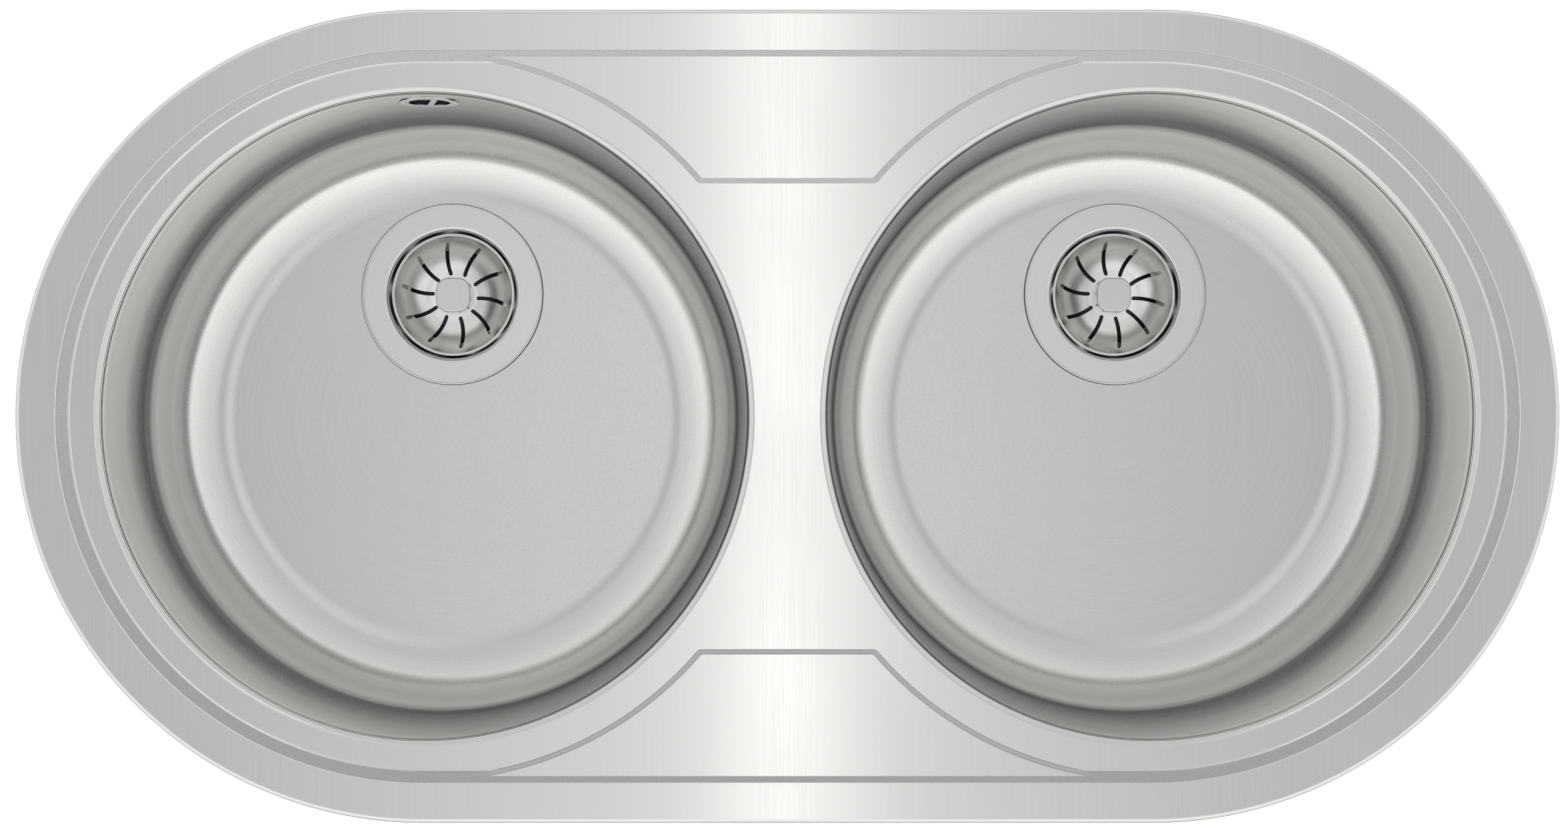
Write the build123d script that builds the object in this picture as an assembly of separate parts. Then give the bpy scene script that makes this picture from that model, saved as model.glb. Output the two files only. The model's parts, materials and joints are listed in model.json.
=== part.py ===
from build123d import *
import math
import os

# Double bowl inset kitchen sink. Millimetres, X to the right, Y to the back, Z up.
# The origin is the middle of the sink on the worktop plane: z = 0 is the worktop's top face.

# ---- deck sheet; its outline is worked out from the bowls and the land round them ----
SHEET = 0.8
RIM_RISE = 2.8              # top of the rim above the worktop, and radius of the rolled edge
RIM_WIDTH = 22.1            # outline to the top of the sloped step
SLOPE_WIDTH = 6.7           # plan width of the sloped step
DECK_DROP = 3.2             # rim top down to the sunken deck
SIDE_LAND = 12.2            # sunken deck in front of and behind a bowl's mouth
END_LAND = 13.2             # sunken deck outside a bowl's mouth, at the sink's ends
BOWL_BRIDGE = 35.0          # sunken deck between the two bowls' mouths

# ---- raised centre panels, one at the back and one at the front ----
PANEL_RISE = 1.6
PANEL_LENGTH = 64.8         # foot of the sloped step to the foot of the panel's straight edge
PANEL_LAND = 16.2           # sunken deck between a bowl's mouth and the panel's curved foot
PANEL_STEP = 2.0            # plan width of the panel's sloped side
PANEL_CORNER = 4.0

# ---- bowls ----
BOWL_RADIUS = 174.5         # inside, just under the mouth
BOWL_DEPTH = 160.0          # rim top to the bowl floor
BOWL_SHEET = 0.8
WALL_TAPER = 2.8            # degrees that the upper wall leans in
LOWER_TAPER = 15.0          # degrees that the lower wall leans in
KNUCKLE_DEPTH = 97.0        # rim top to the bend between upper and lower wall
KNUCKLE_FILLET = 8.0
MOUTH_FILLET = 4.5
MOUTH_WELD_DEPTH = 1.45     # sunken deck down to the welded joint of deck and bowl
FLOOR_FILLET = 34.5

# ---- wastes, one in each bowl ----
DRAIN_INSET = 100.8         # bowl's back wall to the waste axis
FLANGE_LAND = 11.8          # flange beyond the edge of the drain hole
FLANGE_SHEET = 1.0
FLANGE_LIP = 0.6            # rounding of the flange's outer edge
FLANGE_MOUTH = 37.9         # inside radius of the cup under its rounded mouth
FLANGE_ROUND = 2.5
CUP_TAPER = 0.5             # loss of radius down the cup
CUP_DEPTH = 28.0
CUP_FILLET = 3.5
CUP_HOLE_RADIUS = 4.6
CUP_HOLE_PITCH = 15.5       # radius of the ring of outlet holes
CUP_HOLE_COUNT = 8
SEAT_GAP = 0.5              # plan gap between the flange and its recess in the bowl floor
FLANGE_SEAL = 0.8
DRAIN_CLEARANCE = 4.1       # cup's inside to the edge of the drain hole
BODY_SEAL = 3.0
BODY_LAND = 9.0             # body's flange beyond the edge of the drain hole
BODY_FLANGE = 4.0
BODY_STEP = 1.0             # edge of the drain hole in to the body's bore
BODY_WALL = 3.0
BODY_STRAIGHT = 30.0        # length of the waste body's straight upper part
BODY_FUNNEL = 16.0          # height of its funnel
OUTLET_RADIUS = 23.9
OUTLET_WALL = 3.0
OUTLET_LENGTH = 30.0
BOSS_RADIUS = 7.5
BOSS_LENGTH = 17.0
BOSS_DROP = 5.0             # cup underside to the top of the boss
BOSS_RIB = 3.0

# ---- fixing screw, stem and stopper ----
SCREW_RADIUS = 4.0
SCREW_HEAD_RADIUS = 7.0
SCREW_HEAD = 2.8
SCREW_LENGTH = 36.0         # under the head
SCREW_BORE_DEPTH = 27.0
SCREW_SLOT = 1.6
THREAD_GAP = 0.05
STEM_RADIUS = 2.47
STEM_GAP = 0.08             # running clearance of the stem in the screw and the basket
STEM_REACH = 17.0           # stem below the cup floor
STEM_COLLAR_RADIUS = 5.0
STEM_COLLAR = 1.4
STEM_HEAD_RADIUS = 4.0
STEM_HEAD = 1.8
SNAP_SPLIT = 1.0
SNAP_LENGTH = 10.0
STOPPER_RADIUS = 28.0
STOPPER_HEIGHT = 7.0
STOPPER_WEB = 2.2
STOPPER_LIP = 3.5           # plan width of the sealing lip

# ---- basket and knob ----
BASKET_GAP = 1.6            # cup's inside to the basket's lip
BASKET_LIP = 1.4            # plan width and height of the lip
BASKET_SHEET = 0.7
BASKET_DEPTH = 16.3
BASKET_FLAT = 12.5          # radius of its flat middle
SLOT_COUNT = 10
SLOT_WIDTH = 2.3
SLOT_INNER = 13.7
SLOT_OUTER = 30.7
SLOT_SWEEP = -4.9           # degrees from a slot's inner end to its outer end
SLOT_BOW = 1.2              # how far a slot's middle stands off its chord
SLOT_FIRST = 30.3           # direction of the first slot's inner end
KNOB_SIZE = 20.8
KNOB_CORNER = 7.6
KNOB_HEIGHT = 16.0
KNOB_EDGE = 1.2
KNOB_CAVITY_GAP = 0.5

# ---- overflow, left bowl only ----
OVERFLOW_Z = -27.5
OVERFLOW_HOLE = 12.0
ROSETTE_RADIUS = 16.75
ROSETTE_THICK = 1.8         # at its middle, off the bowl wall
ROSETTE_OPENING = 11.4
ROSETTE_STRUT = 3.4
ROSETTE_TILT = 12.0
ROSETTE_SCREW_X = 14.2
ROSETTE_SCREW_RADIUS = 1.5
ROSETTE_SCREW_HEAD = 2.0
ROSETTE_SCREW_HEAD_HIGH = 0.8
ROSETTE_SCREW_LENGTH = 9.0
OVERFLOW_SEAL = 2.0
ELBOW_FLANGE_RADIUS = 20.0
ELBOW_FLANGE = 3.0
ELBOW_WALL = 2.5
PIPE_BORE = 8.5
PIPE_RADIUS = 11.0
PIPE_SETBACK = 16.5         # bowl's back wall to the axis of the overflow hose behind it
ELBOW_LENGTH = 33.0         # overflow axis down to the elbow's open end
INLET_DROP = 24.0           # flange top down to the axis of the waste body's inlet
INLET_LENGTH = 21.3         # inlet beyond the waste body's wall
HOSE_BEND = 30.0
HOSE_RIB_PITCH = 5.0
HOSE_RIB_DEPTH = 1.6
NUT_RADIUS = 15.5
NUT_LENGTH = 18.0
NUT_FACES = 8
NUT_GAP = 0.3

# ---- seal and pads ----
SEAL_WIDTH = 6.0
SEAL_INSET = 3.5            # outline to the outer side of the rim seal
PAD_INSET = 66.5            # bowl's front wall to the near side of the pad
PAD_GAP = 6.6               # pad to the flange's recess
PAD_THICK = 2.5

# ---- clips under the rim ----
CLIP_INSET = 29.0           # outline to the axis of a clip screw
BRACKET_SHEET = 1.8
BRACKET_WIDTH = 24.0
BRACKET_OUT = 17.5          # screw axis to the outer end of the welded leg
BRACKET_WEB = 8.0           # screw axis to the inner face of the web
BRACKET_LEG_IN = 8.0        # screw axis to the inner end of the tapped leg
BRACKET_DROP = 27.0         # rim underside to the underside of the tapped leg
BRACKET_BEND = 2.2
COLLAR_RADIUS = 4.4
COLLAR_HEIGHT = 2.4
CLIP_SCREW_RADIUS = 2.5
CLIP_SCREW_REACH = 45.0     # screw above its head
CLIP_SCREW_HEAD = 4.6
CLIP_SCREW_HEAD_HIGH = 3.5
CLIP_TAP_GAP = 0.05
CLIP_BELOW = 65.0           # worktop plane down to the screw head's upper face, lowered
WASHER_RADIUS = 6.0
WASHER_THICK = 1.2
CLAW_SHEET = 2.2
CLAW_WIDTH = 15.0
CLAW_REACH = 25.0
CLAW_RISE = 20.0
CLAW_NOTCH = 3.8            # depth of the notch between the claw's two teeth
CLAW_GAP = 0.1
CLIP_CORNER_ANGLE = 45.0    # direction of a corner clip from its end arc's centre

# ---- worked out from the sizes above ----
MOUTH_RADIUS = BOWL_RADIUS + MOUTH_FILLET
BOWL_X = MOUTH_RADIUS + BOWL_BRIDGE / 2                # bowl axis from the middle of the sink
END_RADIUS = MOUTH_RADIUS + SIDE_LAND + SLOPE_WIDTH + RIM_WIDTH
END_X = BOWL_X + END_LAND - SIDE_LAND                  # centre of an end arc
RIM_UNDER = RIM_RISE - SHEET
DECK_TOP = RIM_RISE - DECK_DROP
DECK_UNDER = DECK_TOP - SHEET
STEP_TOP_RADIUS = END_RADIUS - RIM_WIDTH
STEP_FOOT_RADIUS = STEP_TOP_RADIUS - SLOPE_WIDTH
STEP_RUN = SLOPE_WIDTH / DECK_DROP                     # plan run of the slope for 1 mm of height
STEP_SHIFT = SHEET * math.hypot(SLOPE_WIDTH, DECK_DROP) / DECK_DROP
PANEL_EDGE = STEP_FOOT_RADIUS - PANEL_LENGTH           # foot of the panel's straight edge
PANEL_ARC = MOUTH_RADIUS + PANEL_LAND                  # panel's curved foot about a bowl's axis
FLOOR_TOP = RIM_RISE - BOWL_DEPTH
MOUTH_Z = DECK_TOP - MOUTH_FILLET                      # centre height of the mouth fillet
WELD_Z = DECK_TOP - MOUTH_WELD_DEPTH
FLANGE_UNDER = FLOOR_TOP - FLANGE_SHEET
RECESS_TOP = FLANGE_UNDER - FLANGE_SEAL
RECESS_UNDER = RECESS_TOP - BOWL_SHEET
DRAIN_HOLE = FLANGE_MOUTH + DRAIN_CLEARANCE
FLANGE_RADIUS = DRAIN_HOLE + FLANGE_LAND
RECESS_RADIUS = FLANGE_RADIUS + SEAT_GAP
BODY_RADIUS = DRAIN_HOLE + BODY_LAND
BODY_BORE = DRAIN_HOLE - BODY_STEP
BASKET_RADIUS = FLANGE_MOUTH - BASKET_GAP
DRAIN_Y = BOWL_RADIUS - DRAIN_INSET                    # waste axis behind the bowl axis
CUP_FLOOR = FLOOR_TOP - CUP_DEPTH
BODY_TOP = RECESS_UNDER - BODY_SEAL
STOPPER_TOP = CUP_FLOOR + STOPPER_HEIGHT
BASKET_TOP = STOPPER_TOP + BASKET_DEPTH
STEM_BORE = STEM_RADIUS + STEM_GAP
INLET_Z = FLOOR_TOP - INLET_DROP
INLET_Y = DRAIN_Y + BODY_BORE + BODY_WALL + INLET_LENGTH
PIPE_Y = BOWL_RADIUS + PIPE_SETBACK
PAD_FRONT = PAD_INSET - BOWL_RADIUS                    # near side of a sound pad
PAD_BACK = DRAIN_Y - RECESS_RADIUS - BOWL_SHEET - PAD_GAP
ELBOW_END = OVERFLOW_Z - ELBOW_LENGTH


def rz_face(*edges):
    """Closed face in the XZ plane from edges given in (radius, height)."""
    return make_face([Plane.XZ * edge for edge in edges])


def rz_polygon(*points):
    return rz_face(Polyline(*points, close=True))


def turned(face):
    """Full turn of an XZ face about the Z axis."""
    return revolve(face, Axis.Z, 360)


def disc(radius, low, high, hole=0.0):
    """Upright cylinder or ring between two heights."""
    plan = Circle(radius) - Circle(hole) if hole else Circle(radius)
    return Pos(0, 0, low) * extrude(plan, high - low)


def across(radius, near, far, hole=0.0):
    """Cylinder or ring along Y between two places."""
    return Pos(0, near, 0) * Rot(-90, 0, 0) * disc(radius, 0, far - near, hole)


def round_the_deck(face):
    """Sweep an XZ face (x = distance from the sink's long axis) round the sink's outline."""
    right = Pos(END_X, 0, 0) * revolve(Rot(0, 0, -90) * face, Axis.Z, 180)
    left = mirror(right, Plane.YZ)
    back = extrude(Pos(-END_X, 0, 0) * Rot(0, 0, 90) * face, 2 * END_X, dir=(1, 0, 0))
    front = mirror(back, Plane.XZ)
    return right + left + back + front


def save(name, shape):
    export_step(shape, os.path.join("parts", name + ".step"))


# ---------------------------------------------------------------- deck panel

def deck_sheet():
    """Rolled edge, flat rim, sloped step and sunken deck as one bent sheet."""
    edge_x = END_RADIUS - RIM_RISE
    under_shift = STEP_SHIFT - SHEET * STEP_RUN
    return round_the_deck(rz_face(
        CenterArc((edge_x, 0), RIM_RISE, 0, 90),
        Polyline((edge_x, RIM_RISE), (STEP_TOP_RADIUS, RIM_RISE), (STEP_FOOT_RADIUS, DECK_TOP),
                 (0, DECK_TOP), (0, DECK_UNDER), (STEP_FOOT_RADIUS + under_shift, DECK_UNDER),
                 (STEP_TOP_RADIUS + under_shift, RIM_UNDER), (edge_x, RIM_UNDER)),
        CenterArc((edge_x, 0), RIM_UNDER, 0, 90),
        Line((edge_x + RIM_UNDER, 0), (END_RADIUS, 0)),
    ))


def panel_plan(inset, outer_y, height):
    """Plan of the back panel at a height: a strip cut by a circle about each bowl."""
    low_y = PANEL_EDGE + inset
    strip = Pos(0, (low_y + outer_y) / 2) * Rectangle(2 * BOWL_X, outer_y - low_y)
    for side in (-1, 1):
        strip -= Pos(side * BOWL_X, 0) * Circle(PANEL_ARC + inset)
    corners = strip.vertices().sort_by(Axis.Y)[:2]
    return Pos(0, 0, height) * fillet(corners, PANEL_CORNER)


def raised_panel():
    """Solid under the back panel's top face, ending inside the sheet of the sloped step."""
    foot_y = STEP_FOOT_RADIUS + STEP_SHIFT / 2
    top_y = foot_y + PANEL_RISE * STEP_RUN
    return loft([panel_plan(0, foot_y, DECK_TOP),
                 panel_plan(PANEL_STEP, top_y, DECK_TOP + PANEL_RISE)], ruled=True)


def panel_hollow():
    """Space under the back panel's sheet, open into the space under the rim."""
    step_run = PANEL_STEP / PANEL_RISE
    side_shift = SHEET * math.hypot(PANEL_STEP, PANEL_RISE) / PANEL_RISE - SHEET * step_run
    return loft([panel_plan(side_shift, STEP_TOP_RADIUS, DECK_UNDER),
                 panel_plan(side_shift + PANEL_STEP, STEP_TOP_RADIUS, DECK_UNDER + PANEL_RISE)],
                ruled=True)


def mouth_collar():
    """Part of the bowl mouth's fillet that is pressed in the deck, down to the weld."""
    drop = math.degrees(math.asin((WELD_Z - MOUTH_Z) / MOUTH_FILLET))
    under_drop = math.degrees(math.asin((WELD_Z - MOUTH_Z) / (MOUTH_FILLET - SHEET)))
    outer = CenterArc((MOUTH_RADIUS, MOUTH_Z), MOUTH_FILLET, 90, 90 - drop)
    inner = CenterArc((MOUTH_RADIUS, MOUTH_Z), MOUTH_FILLET - SHEET, 90, 90 - under_drop)
    return turned(rz_face(outer, Line(outer @ 1, inner @ 1), inner, Line(inner @ 0, outer @ 0)))


def deck_panel():
    deck = deck_sheet()
    for turn in (0, 180):
        deck = deck + Rot(0, 0, turn) * raised_panel()
    for turn in (0, 180):
        deck = deck - Rot(0, 0, turn) * panel_hollow()
    for side in (-1, 1):
        deck -= Pos(side * BOWL_X, 0, 0) * disc(MOUTH_RADIUS, DECK_UNDER - SHEET, DECK_TOP + SHEET)
        deck += Pos(side * BOWL_X, 0, 0) * mouth_collar()
    return deck


# ---------------------------------------------------------------- bowls

def wall_point(top, taper, height):
    """Point at a height on the line that leans in from top by a taper."""
    return (top[0] - (top[1] - height) * math.tan(math.radians(taper)), height)


def bowl_form(grow):
    """Solid inside the bowl (grow = 0) or inside its outer face (grow = sheet)."""
    fillet_radius = MOUTH_FILLET - grow
    weld_angle = 180 - math.degrees(math.asin((WELD_Z - MOUTH_Z) / fillet_radius))
    mouth = CenterArc((MOUTH_RADIUS, MOUTH_Z), fillet_radius, weld_angle,
                      180 - WALL_TAPER - weld_angle)
    wall_top = ((mouth @ 1).X, (mouth @ 1).Y)
    bend = math.radians(LOWER_TAPER - WALL_TAPER) / 2
    knuckle_z = RIM_RISE - KNUCKLE_DEPTH - grow * math.tan(bend)
    floor_z = FLOOR_TOP - grow
    knuckle = wall_point(wall_top, WALL_TAPER, knuckle_z)
    corner = wall_point(knuckle, LOWER_TAPER, floor_z)
    wall = FilletPolyline(wall_top, knuckle, corner, (0, floor_z),
                          radius=(KNUCKLE_FILLET + grow, FLOOR_FILLET + grow))
    lid = Polyline((0, floor_z), (0, WELD_Z), mouth @ 0)
    return turned(rz_face(mouth, wall, lid))


def bowl_recess(grow):
    """The flange's seat, pressed down into the bowl floor."""
    low = RECESS_TOP - grow
    return Pos(0, DRAIN_Y, 0) * disc(RECESS_RADIUS + grow, low, FLOOR_TOP)


def bowl():
    outer = bowl_form(BOWL_SHEET) + bowl_recess(BOWL_SHEET)
    shell = outer - bowl_form(0) - bowl_recess(0)
    return shell - Pos(0, DRAIN_Y, 0) * disc(DRAIN_HOLE, RECESS_UNDER - SHEET, FLOOR_TOP)


def overflow_holes():
    """Hole for the overflow and its two screw holes, along Y through the back wall."""
    holes = across(OVERFLOW_HOLE, 0, END_RADIUS)
    for side in (-1, 1):
        holes += Pos(side * ROSETTE_SCREW_X, 0, 0) * across(ROSETTE_SCREW_RADIUS + NUT_GAP,
                                                           0, END_RADIUS)
    return Pos(0, 0, OVERFLOW_Z) * holes


# ---------------------------------------------------------------- wastes

def cup_path(grow):
    """Face of the flange's cup: rounded mouth, slightly tapered wall, rounded floor edge."""
    top = FLOOR_TOP - grow
    round_radius = FLANGE_ROUND - grow
    mouth_x = FLANGE_MOUTH + FLANGE_ROUND
    mouth = CenterArc((mouth_x, FLOOR_TOP - FLANGE_ROUND), round_radius, 90, 90)
    floor_z = CUP_FLOOR - grow
    floor_x = FLANGE_MOUTH + grow - CUP_TAPER
    wall = FilletPolyline(mouth @ 1, (floor_x, floor_z), (0, floor_z), radius=CUP_FILLET + grow)
    return mouth, wall, top


def waste_flange():
    inner_mouth, inner_wall, top = cup_path(0)
    outer_mouth, outer_wall, under = cup_path(FLANGE_SHEET)
    lip = CenterArc((FLANGE_RADIUS - FLANGE_LIP, FLOOR_TOP - FLANGE_LIP), FLANGE_LIP, 0, 90)
    section = rz_face(
        inner_mouth, inner_wall, Line((0, CUP_FLOOR), (0, CUP_FLOOR - FLANGE_SHEET)), outer_wall,
        outer_mouth, Line(outer_mouth @ 0, (FLANGE_RADIUS, under)),
        Line((FLANGE_RADIUS, under), lip @ 0), lip, Line(lip @ 1, inner_mouth @ 0),
    )
    flange = turned(section)
    hole = disc(CUP_HOLE_RADIUS, CUP_FLOOR - 2 * FLANGE_SHEET, CUP_FLOOR + FLANGE_SHEET)
    for place in PolarLocations(CUP_HOLE_PITCH, CUP_HOLE_COUNT):
        flange -= place * hole
    return flange - disc(SCREW_RADIUS + THREAD_GAP, CUP_FLOOR - 2 * FLANGE_SHEET, CUP_FLOOR)


def waste_body():
    """Moulded body: sealing flange, straight wall, funnel, outlet tail and ribbed boss."""
    wall_low = BODY_TOP - BODY_STRAIGHT
    funnel_low = wall_low - BODY_FUNNEL
    outlet_low = funnel_low - OUTLET_LENGTH
    outlet_bore = OUTLET_RADIUS - OUTLET_WALL
    shell = turned(rz_polygon(
        (BODY_BORE, BODY_TOP), (BODY_RADIUS, BODY_TOP), (BODY_RADIUS, BODY_TOP - BODY_FLANGE),
        (BODY_BORE + BODY_WALL, BODY_TOP - BODY_FLANGE), (BODY_BORE + BODY_WALL, wall_low),
        (OUTLET_RADIUS, funnel_low), (OUTLET_RADIUS, outlet_low), (outlet_bore, outlet_low),
        (outlet_bore, funnel_low), (BODY_BORE, wall_low),
    ))
    boss_top = CUP_FLOOR - FLANGE_SHEET - BOSS_DROP
    boss_low = boss_top - BOSS_LENGTH
    cavity = disc(BODY_BORE, wall_low, BODY_TOP)
    rib = Pos(BODY_BORE / 2, 0, (boss_low + boss_top) / 2) * Box(BODY_BORE, BOSS_RIB, BOSS_LENGTH)
    ribs = Part() + [Rot(0, 0, turn) * rib for turn in (30, 150, 270)]
    funnel = turned(rz_polygon((0, wall_low), (BODY_BORE, wall_low), (outlet_bore, funnel_low),
                               (0, funnel_low)))
    carrier = (ribs & (cavity + funnel)) + disc(BOSS_RADIUS, boss_low, boss_top)
    return shell + carrier - disc(SCREW_RADIUS + THREAD_GAP, boss_low - SHEET, boss_top + SHEET)


def overflow_inlet(body):
    """Add the overflow inlet to the back of a waste body."""
    axis = Pos(0, 0, INLET_Z)
    spigot = axis * across(PIPE_RADIUS, BODY_BORE + BODY_WALL / 2, INLET_Y - DRAIN_Y)
    bore = axis * across(PIPE_BORE, BODY_BORE - BODY_WALL, INLET_Y - DRAIN_Y)
    return body + (spigot - disc(BODY_BORE, INLET_Z - PIPE_RADIUS, INLET_Z + PIPE_RADIUS)) - bore


def fixing_screw():
    """Hollow screw that pulls the waste body up; the basket stem snaps into its bore."""
    head_top = CUP_FLOOR + SCREW_HEAD
    screw = disc(SCREW_HEAD_RADIUS, CUP_FLOOR, head_top)
    screw = chamfer(screw.edges().group_by(Axis.Z)[-1], SCREW_HEAD / 4)
    screw += disc(SCREW_RADIUS, CUP_FLOOR - SCREW_LENGTH, CUP_FLOOR)
    slot = Pos(0, 0, head_top) * Box(2 * SCREW_HEAD_RADIUS, SCREW_SLOT, SCREW_HEAD)
    return screw - slot - disc(STEM_BORE, head_top - SCREW_BORE_DEPTH, head_top)


def stopper():
    """Rubber disc with a sealing lip, hollow underneath over the screw head."""
    web_low = STOPPER_TOP - STOPPER_WEB
    inner = STOPPER_RADIUS - STOPPER_LIP
    hub = SCREW_HEAD_RADIUS + 2 * STOPPER_WEB
    hub_bore = SCREW_HEAD_RADIUS + STOPPER_WEB / 2
    lip_top = CUP_FLOOR + STOPPER_WEB
    section = rz_polygon(
        (STEM_BORE, STOPPER_TOP), (hub, STOPPER_TOP), (STOPPER_RADIUS, lip_top),
        (STOPPER_RADIUS, CUP_FLOOR), (inner, CUP_FLOOR), (inner, CUP_FLOOR + STOPPER_WEB / 3),
        (hub, web_low), (hub_bore, web_low), (STEM_BORE, web_low),
    )
    return turned(section)


def stem():
    """Stem with a collar under the stopper, a head inside the knob and a split snap end."""
    low = CUP_FLOOR - STEM_REACH
    web_low = STOPPER_TOP - STOPPER_WEB
    head_low = STOPPER_TOP + BASKET_SHEET
    shaft = disc(STEM_RADIUS, low, head_low)
    shaft = chamfer(shaft.edges().group_by(Axis.Z)[0], STEM_RADIUS / 3)
    shaft += disc(STEM_COLLAR_RADIUS, web_low - STEM_COLLAR, web_low)
    shaft += disc(STEM_HEAD_RADIUS, head_low, head_low + STEM_HEAD)
    split = Pos(0, 0, low + SNAP_LENGTH / 2) * Box(2 * STEM_RADIUS, SNAP_SPLIT, SNAP_LENGTH)
    return shaft - split


# ---------------------------------------------------------------- basket and knob

def basket():
    """Pressed basket: thick lip, dished side with curved slots and a flat middle."""
    lip_r = BASKET_RADIUS - BASKET_LIP
    rise = BASKET_DEPTH - BASKET_SHEET
    run = lip_r - BASKET_FLAT
    dish = (run * run + rise * rise) / (2 * rise)
    centre_z = STOPPER_TOP + BASKET_SHEET + dish
    inside_turn = math.degrees(math.acos((dish - rise) / dish))
    outer_dish = dish + BASKET_SHEET
    outside_turn = math.degrees(math.acos((dish - rise + BASKET_LIP) / outer_dish))
    inside = CenterArc((BASKET_FLAT, centre_z), dish, -90, inside_turn)
    outside = CenterArc((BASKET_FLAT, centre_z), outer_dish, -90, outside_turn)
    section = rz_face(
        inside, outside,
        Polyline(inside @ 1, (BASKET_RADIUS, BASKET_TOP), (BASKET_RADIUS, (outside @ 1).Y),
                 outside @ 1),
        Polyline(inside @ 0, (STEM_BORE, STOPPER_TOP + BASKET_SHEET), (STEM_BORE, STOPPER_TOP),
                 outside @ 0),
    )
    pressed = turned(section)
    cutter = slot_cutter()
    for turn in range(SLOT_COUNT):
        pressed -= Rot(0, 0, SLOT_FIRST + turn * 360 / SLOT_COUNT) * cutter
    return pressed


def slot_cutter():
    """One curved slot, as a prism through the basket's side, starting along +X."""
    sweep = math.radians(SLOT_SWEEP)
    start = Vector(SLOT_INNER, 0)
    end = Vector(SLOT_OUTER * math.cos(sweep), SLOT_OUTER * math.sin(sweep))
    chord = end - start
    bow = Vector(-chord.Y, chord.X).normalized() * SLOT_BOW
    middle = ThreePointArc(start, (start + end) * 0.5 + bow, end)
    plan = SlotArc(middle, SLOT_WIDTH)
    return Pos(0, 0, CUP_FLOOR) * extrude(plan, BASKET_TOP - CUP_FLOOR)


def knob():
    """Rounded square knob that stands on the basket, hollow over the stem's head."""
    low = STOPPER_TOP + BASKET_SHEET
    block = Pos(0, 0, low) * extrude(RectangleRounded(KNOB_SIZE, KNOB_SIZE, KNOB_CORNER), KNOB_HEIGHT)
    block = fillet(block.edges().group_by(Axis.Z)[-1], KNOB_EDGE)
    return block - disc(STEM_HEAD_RADIUS + KNOB_CAVITY_GAP, low, low + STEM_HEAD + KNOB_CAVITY_GAP)


# ---------------------------------------------------------------- overflow

def rosette(inside):
    """Round overflow plate with a slanted strut, shaped to the bowl wall behind it."""
    wall_y = BOWL_RADIUS + SHEET
    face_y = wall_line_y(OVERFLOW_Z) - ROSETTE_THICK
    plate = across(ROSETTE_RADIUS, face_y, wall_y)
    plate = chamfer(plate.edges().group_by(Axis.Y)[0], SHEET / 2)
    opening = across(ROSETTE_OPENING, face_y - SHEET, wall_y)
    strut = Pos(0, (face_y + wall_y) / 2, 0) * Rot(0, ROSETTE_TILT, 0) * Box(
        ROSETTE_STRUT, wall_y - face_y, 2 * ROSETTE_RADIUS)
    plate -= opening - Pos(ROSETTE_STRUT / 2, 0, 0) * strut
    for side in (-1, 1):
        plate -= Pos(side * ROSETTE_SCREW_X, 0, 0) * across(ROSETTE_SCREW_RADIUS, face_y - SHEET,
                                                           wall_y)
    return (Pos(0, 0, OVERFLOW_Z) * plate) & inside


def wall_line_y(height):
    """Inside radius of the upper wall at a height."""
    return BOWL_RADIUS - (MOUTH_Z - height) * math.tan(math.radians(WALL_TAPER))


def rosette_screws():
    face_y = wall_line_y(OVERFLOW_Z) - ROSETTE_THICK
    screw = across(ROSETTE_SCREW_RADIUS - THREAD_GAP, face_y, face_y + ROSETTE_SCREW_LENGTH)
    head = across(ROSETTE_SCREW_HEAD, face_y - ROSETTE_SCREW_HEAD_HIGH, face_y)
    head = chamfer(head.edges().group_by(Axis.Y)[0], ROSETTE_SCREW_HEAD_HIGH / 3)
    slot = Pos(0, face_y - ROSETTE_SCREW_HEAD_HIGH, 0) * Box(
        2 * ROSETTE_SCREW_HEAD, ROSETTE_SCREW_HEAD_HIGH, ROSETTE_SCREW_HEAD / 3)
    both = Part()
    for side in (-1, 1):
        both += Pos(side * ROSETTE_SCREW_X, 0, OVERFLOW_Z) * (screw + head - slot)
    return both


def overflow_seal(outside):
    """Rubber ring between the bowl's outer face and the elbow's flange."""
    ring = across(ELBOW_FLANGE_RADIUS, 0, elbow_face_y(), OVERFLOW_HOLE)
    for side in (-1, 1):
        ring -= Pos(side * ROSETTE_SCREW_X, 0, 0) * across(ROSETTE_SCREW_RADIUS + NUT_GAP, 0,
                                                          elbow_face_y())
    clear = Pos(0, 0, OVERFLOW_Z) * ring - outside
    return clear.solids().sort_by(Axis.Y)[-1]


def elbow_face_y():
    return BOWL_RADIUS + BOWL_SHEET + OVERFLOW_SEAL


def overflow_elbow():
    """Moulded elbow behind the wall: flange, chamber and spigot down to the hose."""
    face_y = elbow_face_y()
    chamber_radius = OVERFLOW_HOLE + ELBOW_WALL
    end_y = PIPE_Y + PIPE_RADIUS
    outer = across(ELBOW_FLANGE_RADIUS, face_y, face_y + ELBOW_FLANGE)
    outer += across(chamber_radius, face_y, end_y)
    outer += Pos(0, PIPE_Y, 0) * disc(PIPE_RADIUS, -ELBOW_LENGTH, 0)
    inner = across(OVERFLOW_HOLE, face_y, end_y - ELBOW_WALL)
    inner += Pos(0, PIPE_Y, 0) * disc(PIPE_BORE, -ELBOW_LENGTH, 0)
    for side in (-1, 1):
        boss = across(ROSETTE_SCREW_RADIUS + ELBOW_WALL, face_y, face_y + 2 * ELBOW_FLANGE)
        outer += Pos(side * ROSETTE_SCREW_X, 0, 0) * boss
    for side in (-1, 1):
        inner += Pos(side * ROSETTE_SCREW_X, 0, 0) * across(ROSETTE_SCREW_RADIUS, face_y,
                                                           face_y + 2 * ELBOW_FLANGE - ELBOW_WALL)
    return Pos(0, 0, OVERFLOW_Z) * (outer - inner)


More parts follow.
